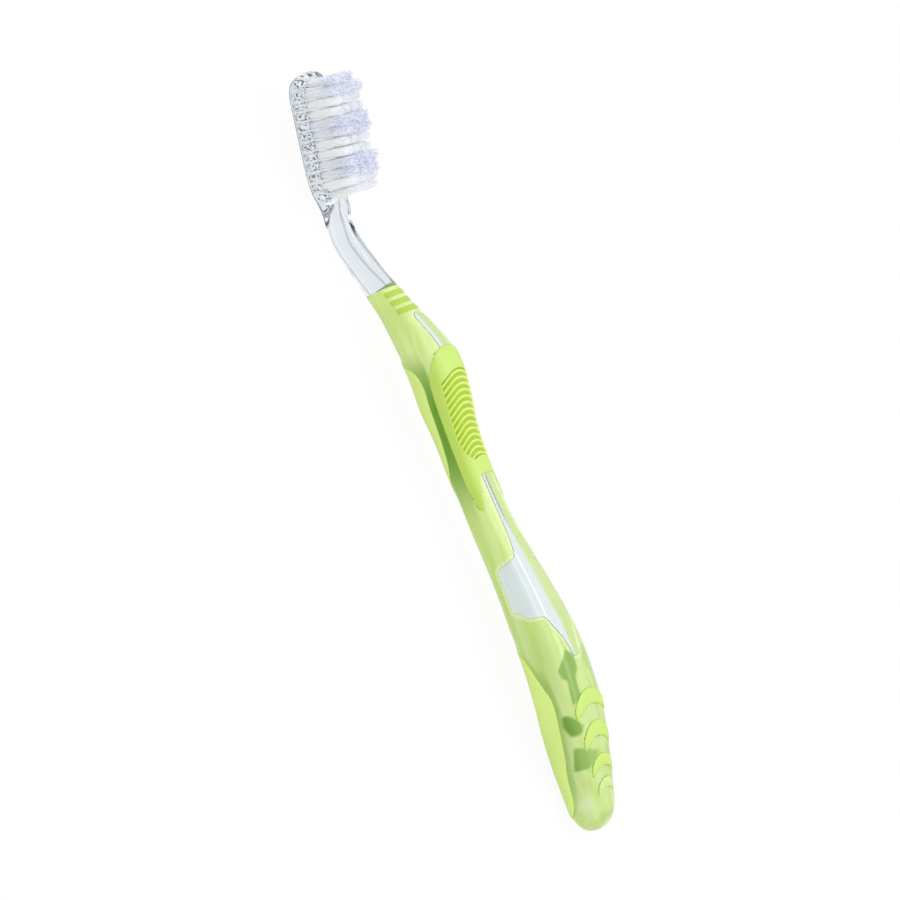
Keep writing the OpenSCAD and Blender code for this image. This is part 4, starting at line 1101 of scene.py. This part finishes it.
class BRUSH_OT_tail_grips(bpy.types.Operator):
    """Build the crescents on the front of the tail, each with its leg"""
    bl_idname = "brush.tail_grips"
    bl_label = "Tail grips"

    def execute(self, context):
        sizes, colours = context.scene.brush_sizes, context.scene.brush_colours
        rubber, pale = soft_rubber(colours, colours.rubber), soft_rubber(colours, colours.rubber_pale)
        q = (1 - np.cos(even(0, math.pi, 20))) / 2
        v = np.sin(even(-math.pi / 2, math.pi / 2, 48))[None, :] * CRESCENT_PART
        for k in range(len(CRESCENTS)):
            x, y = crescent_point(k, q[:, None], v)
            y = np.broadcast_to(y, x.shape)
            t = 90 - np.sign(y) * front_half_angle(x, np.abs(y))
            horns = np.sqrt(np.clip(1 - np.abs(v / CRESCENT_PART)**8, 0, 1))
            height = np.sin(np.arccos(1 - 2 * q))[:, None]**0.55 * horns
            cap = slab(skin(x, t, sizes.pad_proud / MM * 1.45 * height), skin(x, t, PAD_BOTTOM))
            lv = np.sin(even(-math.pi / 2, math.pi / 2, 24))[None, :] * LEG_PART
            lx, ly = crescent_point(k, even(0.25, 0.7, 6)[:, None], lv)
            ly = np.broadcast_to(ly, lx.shape)
            lt = 90 - np.sign(ly) * front_half_angle(lx, np.abs(ly))
            p = skin(lx, lt)
            leg = slab(p - np.array([0, 0, 0.5]) * MM, p - np.array([0, 0, LEG_L]) * MM)
            make_piece("tail_crescent_%d" % (k + 1), *join([cap, leg]), pale if k == 3 else rubber,
                       "soft_lime", ["tail_grip_%d" % (k + 1)], sharp=50)
        return {"FINISHED"}


def filament_ends(rings, pitch):
    """Places of the filaments across a tuft: a hexagonal packing of that many rings."""
    places = [(0.0, 0.0)]
    for ring in range(1, rings + 1):
        turns = [math.radians(60 * c) for c in range(7)]
        corners = [np.array([math.cos(turn), math.sin(turn)]) * ring for turn in turns]
        for this, following in zip(corners, corners[1:]):
            places += [tuple(this + (following - this) * i / ring) for i in range(ring)]
    return np.array(places) * pitch


def tuft_filaments(row, column, y, sizes, blue, rng):
    """Centre lines of a tuft's filaments. Each runs straight up its hole, and above the face its distance
    from the tuft's middle grows to 1 + low_fan (1 - exp(-z / FAN_H)) + top_fan (z / height)^3 times. The
    tips of a white tuft make a flat dome. A blue filament is cut unevenly, and waves as a sine with its
    own phase and direction."""
    thick = sizes.filament_d / MM
    ends = filament_ends(sizes.filament_rings, (HOLE_D / 2 - FIT_GAP - thick / 2) / sizes.filament_rings)
    n = len(ends)
    radius = np.hypot(*ends.T) / (HOLE_D / 2)
    steps, low_fan, top_fan, stray = BLUE_FAN if blue else WHITE_FAN
    uneven = UNEVEN * math.sin(math.radians(140 * row + 90 * column))
    height = (sizes.blue_h if blue else sizes.white_h) / MM + uneven
    height -= sizes.blue_h / MM * 0.1 if row == 1 else 0
    if blue:
        tips = height - 0.2 - rng.random(n) * 0.8 + 0.25 * (1 - radius)
    else:
        tips = height - 0.1 - 0.75 * radius**2.5 - rng.random(n) * 0.08
    foot = -(HOLE_DEPTH - ANCHOR_H)
    u = even(0, 1, steps)[None, :]
    z = foot + (tips[:, None] - foot) * u
    rise = np.clip(z / height, 0, 1)
    spread = 1 + (low_fan * (1 - np.exp(-np.clip(z, 0, None) / FAN_H)) + top_fan * rise**3)
    wander = rng.normal(0, stray, (n, 2))
    px = ends[:, :1] * spread + wander[:, :1] * rise**1.5
    py = ends[:, 1:] * spread + wander[:, 1:] * rise**1.5
    if blue:
        phase, heading = rng.random((n, 1)) * 2 * np.pi, rng.random((n, 1)) * np.pi
        turn = 2 * np.pi * z * MM / sizes.crimp_pitch + phase
        wave = sizes.crimp * np.sin(turn) / MM * np.clip(z / 1.5, 0, 1)
        px, py = px + wave * np.cos(heading), py + wave * np.sin(heading)
    px = px + TUFT_LEAN.get(row, 0.0) * rise**1.5
    return on_face(row, y, np.stack([px, py, z], -1))


def tubes(lines, radius, sides, along, across):
    """Round bars along many centre lines at once: a ring of sides at each point, which shrinks to a
    dome at the tip. along and across are the two directions of the rings."""
    n, m = lines.shape[:2]
    a = np.arange(sides) * 2 * np.pi / sides
    ring = np.cos(a)[:, None] * along + np.sin(a)[:, None] * across
    r = np.full(m, radius)
    r[-1] = radius * 0.45
    points = lines[:, :, None, :] + r[None, :, None, None] * ring[None, None]
    index = np.arange(n * m * sides).reshape(n, m, sides)
    index = np.concatenate([index, index[:, :, :1]], 2)
    p, q = index[:, :-1, :-1].ravel(), index[:, :-1, 1:].ravel()
    s, t = index[:, 1:, 1:].ravel(), index[:, 1:, :-1].ravel()
    walls = np.concatenate([np.stack([p, q, s], 1), np.stack([p, s, t], 1)])
    i, j = np.arange(1, sides - 1), np.arange(2, sides)
    top, foot = index[:, -1], index[:, 0]
    caps = [np.stack(np.broadcast_arrays(top[:, :1], top[:, i], top[:, j]), -1).reshape(-1, 3),
            np.stack(np.broadcast_arrays(foot[:, :1], foot[:, j], foot[:, i]), -1).reshape(-1, 3)]
    return points.reshape(-1, 3), np.concatenate([walls] + caps)


class BRUSH_OT_tufts(bpy.types.Operator):
    """Build the rows of tufts, filament by filament"""
    bl_idname = "brush.tufts"
    bl_label = "Tufts"

    def execute(self, context):
        sizes, colours = context.scene.brush_sizes, context.scene.brush_colours
        white = nylon("white_nylon_filament", colours.white, colours.white_tip)
        blue = nylon("lavender_blue_nylon_filament", colours.blue, colours.blue_tip)
        along = np.array([math.cos(TILT), 0, -math.sin(TILT)])
        sides = 5
        for row in ROWS:
            nylon_of_row, slot = (blue, "blue_nylon") if row in BLUE_ROWS else (white, "white_nylon")
            rng = np.random.default_rng(100 + row)
            lines = np.concatenate([tuft_filaments(row, column, y, sizes, row in BLUE_ROWS, rng)
                                    for column, y in enumerate(tuft_places(row))])
            verts, faces = tubes(lines, sizes.filament_d / 2, sides, along, np.array([0, 1.0, 0]))
            tufts = make_piece("tufts_%02d" % row, verts, faces, nylon_of_row, slot,
                               ["tuft_row_%02d" % row], sharp=80)
            rise = np.clip(even(0, 1, lines.shape[1] - 1) * 1.6 - 0.6, 0, 1)
            add_shade(tufts.data, np.broadcast_to(rise[None, :, None], lines.shape[:2] + (sides,)))
        return {"FINISHED"}


class BRUSH_OT_anchors(bpy.types.Operator):
    """Build the flat metal anchors at the bottom of the tuft holes"""
    bl_idname = "brush.anchors"
    bl_label = "Anchors"

    def execute(self, context):
        colours = context.scene.brush_colours
        half = HOLE_D / 2 - FIT_GAP * 3
        u, v = np.meshgrid(even(-1, 1, 8), even(0, 1, 6), indexing="ij")
        side = np.stack([u * 0 + ANCHOR_T / 2, u * half, -HOLE_DEPTH + ANCHOR_H * v], -1)
        other = side * np.array([-1, 1, 1])
        parts = [slab(on_face(row, y, side), on_face(row, y, other))
                 for row in ROWS for y in tuft_places(row)]
        make_piece("anchor_strips", *join(parts), nickel_silver(colours), "anchor_metal", ["tuft_anchors"])
        return {"FINISHED"}


class BRUSH_OT_stage(bpy.types.Operator):
    """Build the pale floor, the lights, the world and the camera"""
    bl_idname = "brush.stage"
    bl_label = "Stage"

    def execute(self, context):
        self.floor(context)
        self.world(context)
        self.lamps(context)
        self.camera(context)
        context.scene.view_settings.view_transform = "Standard"
        return {"FINISHED"}

    def floor(self, context):
        """A wide white plane. The camera, gloss and clear plastic see it white, with a trace of shadow."""
        mesh = bpy.data.meshes.new("floor")
        half, z = 3, -2e-5
        corners = [(-half, -half, z), (half, -half, z), (half, half, z), (-half, half, z)]
        mesh.from_pydata(corners, [], [(0, 1, 2, 3)])
        floor = bpy.data.objects.new("floor", mesh)
        context.scene.collection.objects.link(floor)
        material, add = new_material("white_paper_floor")
        path = add("LightPath")
        seen = add("Math", {"operation": "MAXIMUM"},
                   [(0, path, "Is Camera Ray"), (1, path, "Is Glossy Ray")])
        seen = add("Math", {"operation": "MAXIMUM"}, [(0, seen, 0), (1, path, "Is Transmission Ray")])
        paper = add("BsdfDiffuse", {"Color": (0.85, 0.85, 0.85, 1)})
        white = add("Emission", {"Color": (1, 1, 1, 1), "Strength": 1.0})
        share = add("Math", {"operation": "MULTIPLY", 1: 0.94}, [(0, seen, 0)])
        mix = add("MixShader", {}, [(0, share, 0), (1, paper, 0), (2, white, 0)])
        add("OutputMaterial", {}, [("Surface", mix, 0)])
        mesh.materials.append(material)

    def world(self, context):
        """White for the camera. The rest sees a studio of greys, as stops of height and level: bright
        above, softer at the sides, with a narrow dark band low down across the brush, but not along it,
        which draws thin dark lines in the clear plastic."""
        world = bpy.data.worlds.new("studio")
        world.use_nodes = True
        context.scene.world = world
        world.node_tree.nodes.clear()
        add = partial(add_node, world.node_tree)
        coord = add("TexCoord")
        xyz = add("SeparateXYZ", {}, [(0, coord, "Generated")])
        side = add("Math", {"operation": "ABSOLUTE"}, [(0, xyz, "X")])
        ramps = []
        for source, output, stops in (
                (xyz, "Z", ((0.0, 0.76), (0.3, 0.82), (0.6, 0.96), (1.0, 1.0))),
                (side, 0, ((0.2, 0.0), (0.45, 1.0))),
                (xyz, "Z", ((0.03, 1.0), (0.055, 0.6), (0.1, 0.6), (0.13, 1.0)))):
            ramps.append(add("ValToRGB", {}, [(0, source, output)]))
            elements = ramps[-1].color_ramp.elements
            while len(elements) < len(stops):
                elements.new(0.5)
            for element, (place, level) in zip(elements, stops):
                element.position, element.color = place, (level, level, level, 1)
        sky, ends, band = ramps
        lit = add("Math", {"operation": "MAXIMUM"}, [(0, ends, 0), (1, band, 0)])
        studio = add("Math", {"operation": "MULTIPLY"}, [(0, sky, 0), (1, lit, 0)])
        path = add("LightPath")
        colour = add("Math", {"operation": "MAXIMUM"}, [(0, studio, 0), (1, path, "Is Camera Ray")])
        back = add("Background", {"Strength": 1.1}, [("Color", colour, 0)])
        add("OutputWorld", {}, [("Surface", back, 0)])

    def lamps(self, context):
        """Two soft boxes: a long narrow key over the brush, and a wide fill on the camera's side."""
        boxes = (("key", (0, 0.3, 1.05), (1.2, 0.22), 3.0), ("fill", (-0.1, -0.65, 1.0), (0.9, 0.5), 1.8))
        for name, place, size, power in boxes:
            light = bpy.data.lights.new(name, "AREA")
            light.shape, light.size, light.size_y, light.energy = "RECTANGLE", size[0], size[1], power
            lamp = bpy.data.objects.new(name, light)
            lamp.location = place
            lamp.rotation_euler = (Vector((0, 0, 0.01)) - Vector(place)).to_track_quat("-Z", "Y").to_euler()
            context.scene.collection.objects.link(lamp)

    def camera(self, context):
        """A long lens, 34 degrees above the side and turned so that the brush runs down and to the
        right."""
        turn, far, frame_w = math.radians(69.18), 1.6, 0.210797
        along = Vector((math.cos(LEAN), 0, -math.sin(LEAN)))
        up = Vector((math.sin(LEAN), 0, math.cos(LEAN)))
        across = Vector((0, 1, 0))
        look = across * math.cos(RISE) - up * math.sin(RISE)
        side = across * math.sin(RISE) + up * math.cos(RISE)
        right = along * math.cos(turn) + side * math.sin(turn)
        top = side * math.cos(turn) - along * math.sin(turn)
        target = Vector(TARGET) * MM
        data = bpy.data.cameras.new("camera")
        data.sensor_width, data.lens = 36, 36 * far / frame_w
        data.clip_end = 20
        camera = bpy.data.objects.new("camera", data)
        turned = Matrix((right, top, -look)).transposed().to_4x4()
        camera.matrix_world = Matrix.Translation(target - look * far) @ turned
        context.scene.collection.objects.link(camera)
        context.scene.camera = camera


STEPS = (BRUSH_OT_core, BRUSH_OT_jacket, BRUSH_OT_thumb_grip, BRUSH_OT_back_grip, BRUSH_OT_neck_ribs,
         BRUSH_OT_tail_key, BRUSH_OT_tail_grips, BRUSH_OT_tufts, BRUSH_OT_anchors, BRUSH_OT_stage)


class BRUSH_PT_panel(bpy.types.Panel):
    """Lists the sizes, the colours and the steps"""
    bl_idname = "BRUSH_PT_panel"
    bl_label = "Toothbrush"
    bl_space_type = "VIEW_3D"
    bl_region_type = "UI"
    bl_category = "Toothbrush"

    def draw(self, context):
        for group in (context.scene.brush_sizes, context.scene.brush_colours):
            for name in group.bl_rna.properties.keys():
                if name not in ("rna_type", "name"):
                    self.layout.prop(group, name)
        for step in STEPS:
            self.layout.operator(step.bl_idname)


CLASSES = (BrushSizes, BrushColours) + STEPS + (BRUSH_PT_panel,)


def register():
    for cls in CLASSES:
        bpy.utils.register_class(cls)
    bpy.types.Scene.brush_sizes = bpy.props.PointerProperty(type=BrushSizes)
    bpy.types.Scene.brush_colours = bpy.props.PointerProperty(type=BrushColours)


def unregister():
    del bpy.types.Scene.brush_colours
    del bpy.types.Scene.brush_sizes
    for cls in reversed(CLASSES):
        bpy.utils.unregister_class(cls)


def main():
    register()
    for step in STEPS:
        family, name = step.bl_idname.split(".")
        getattr(getattr(bpy.ops, family), name)()
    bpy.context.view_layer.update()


if __name__ == "__main__":
    main()
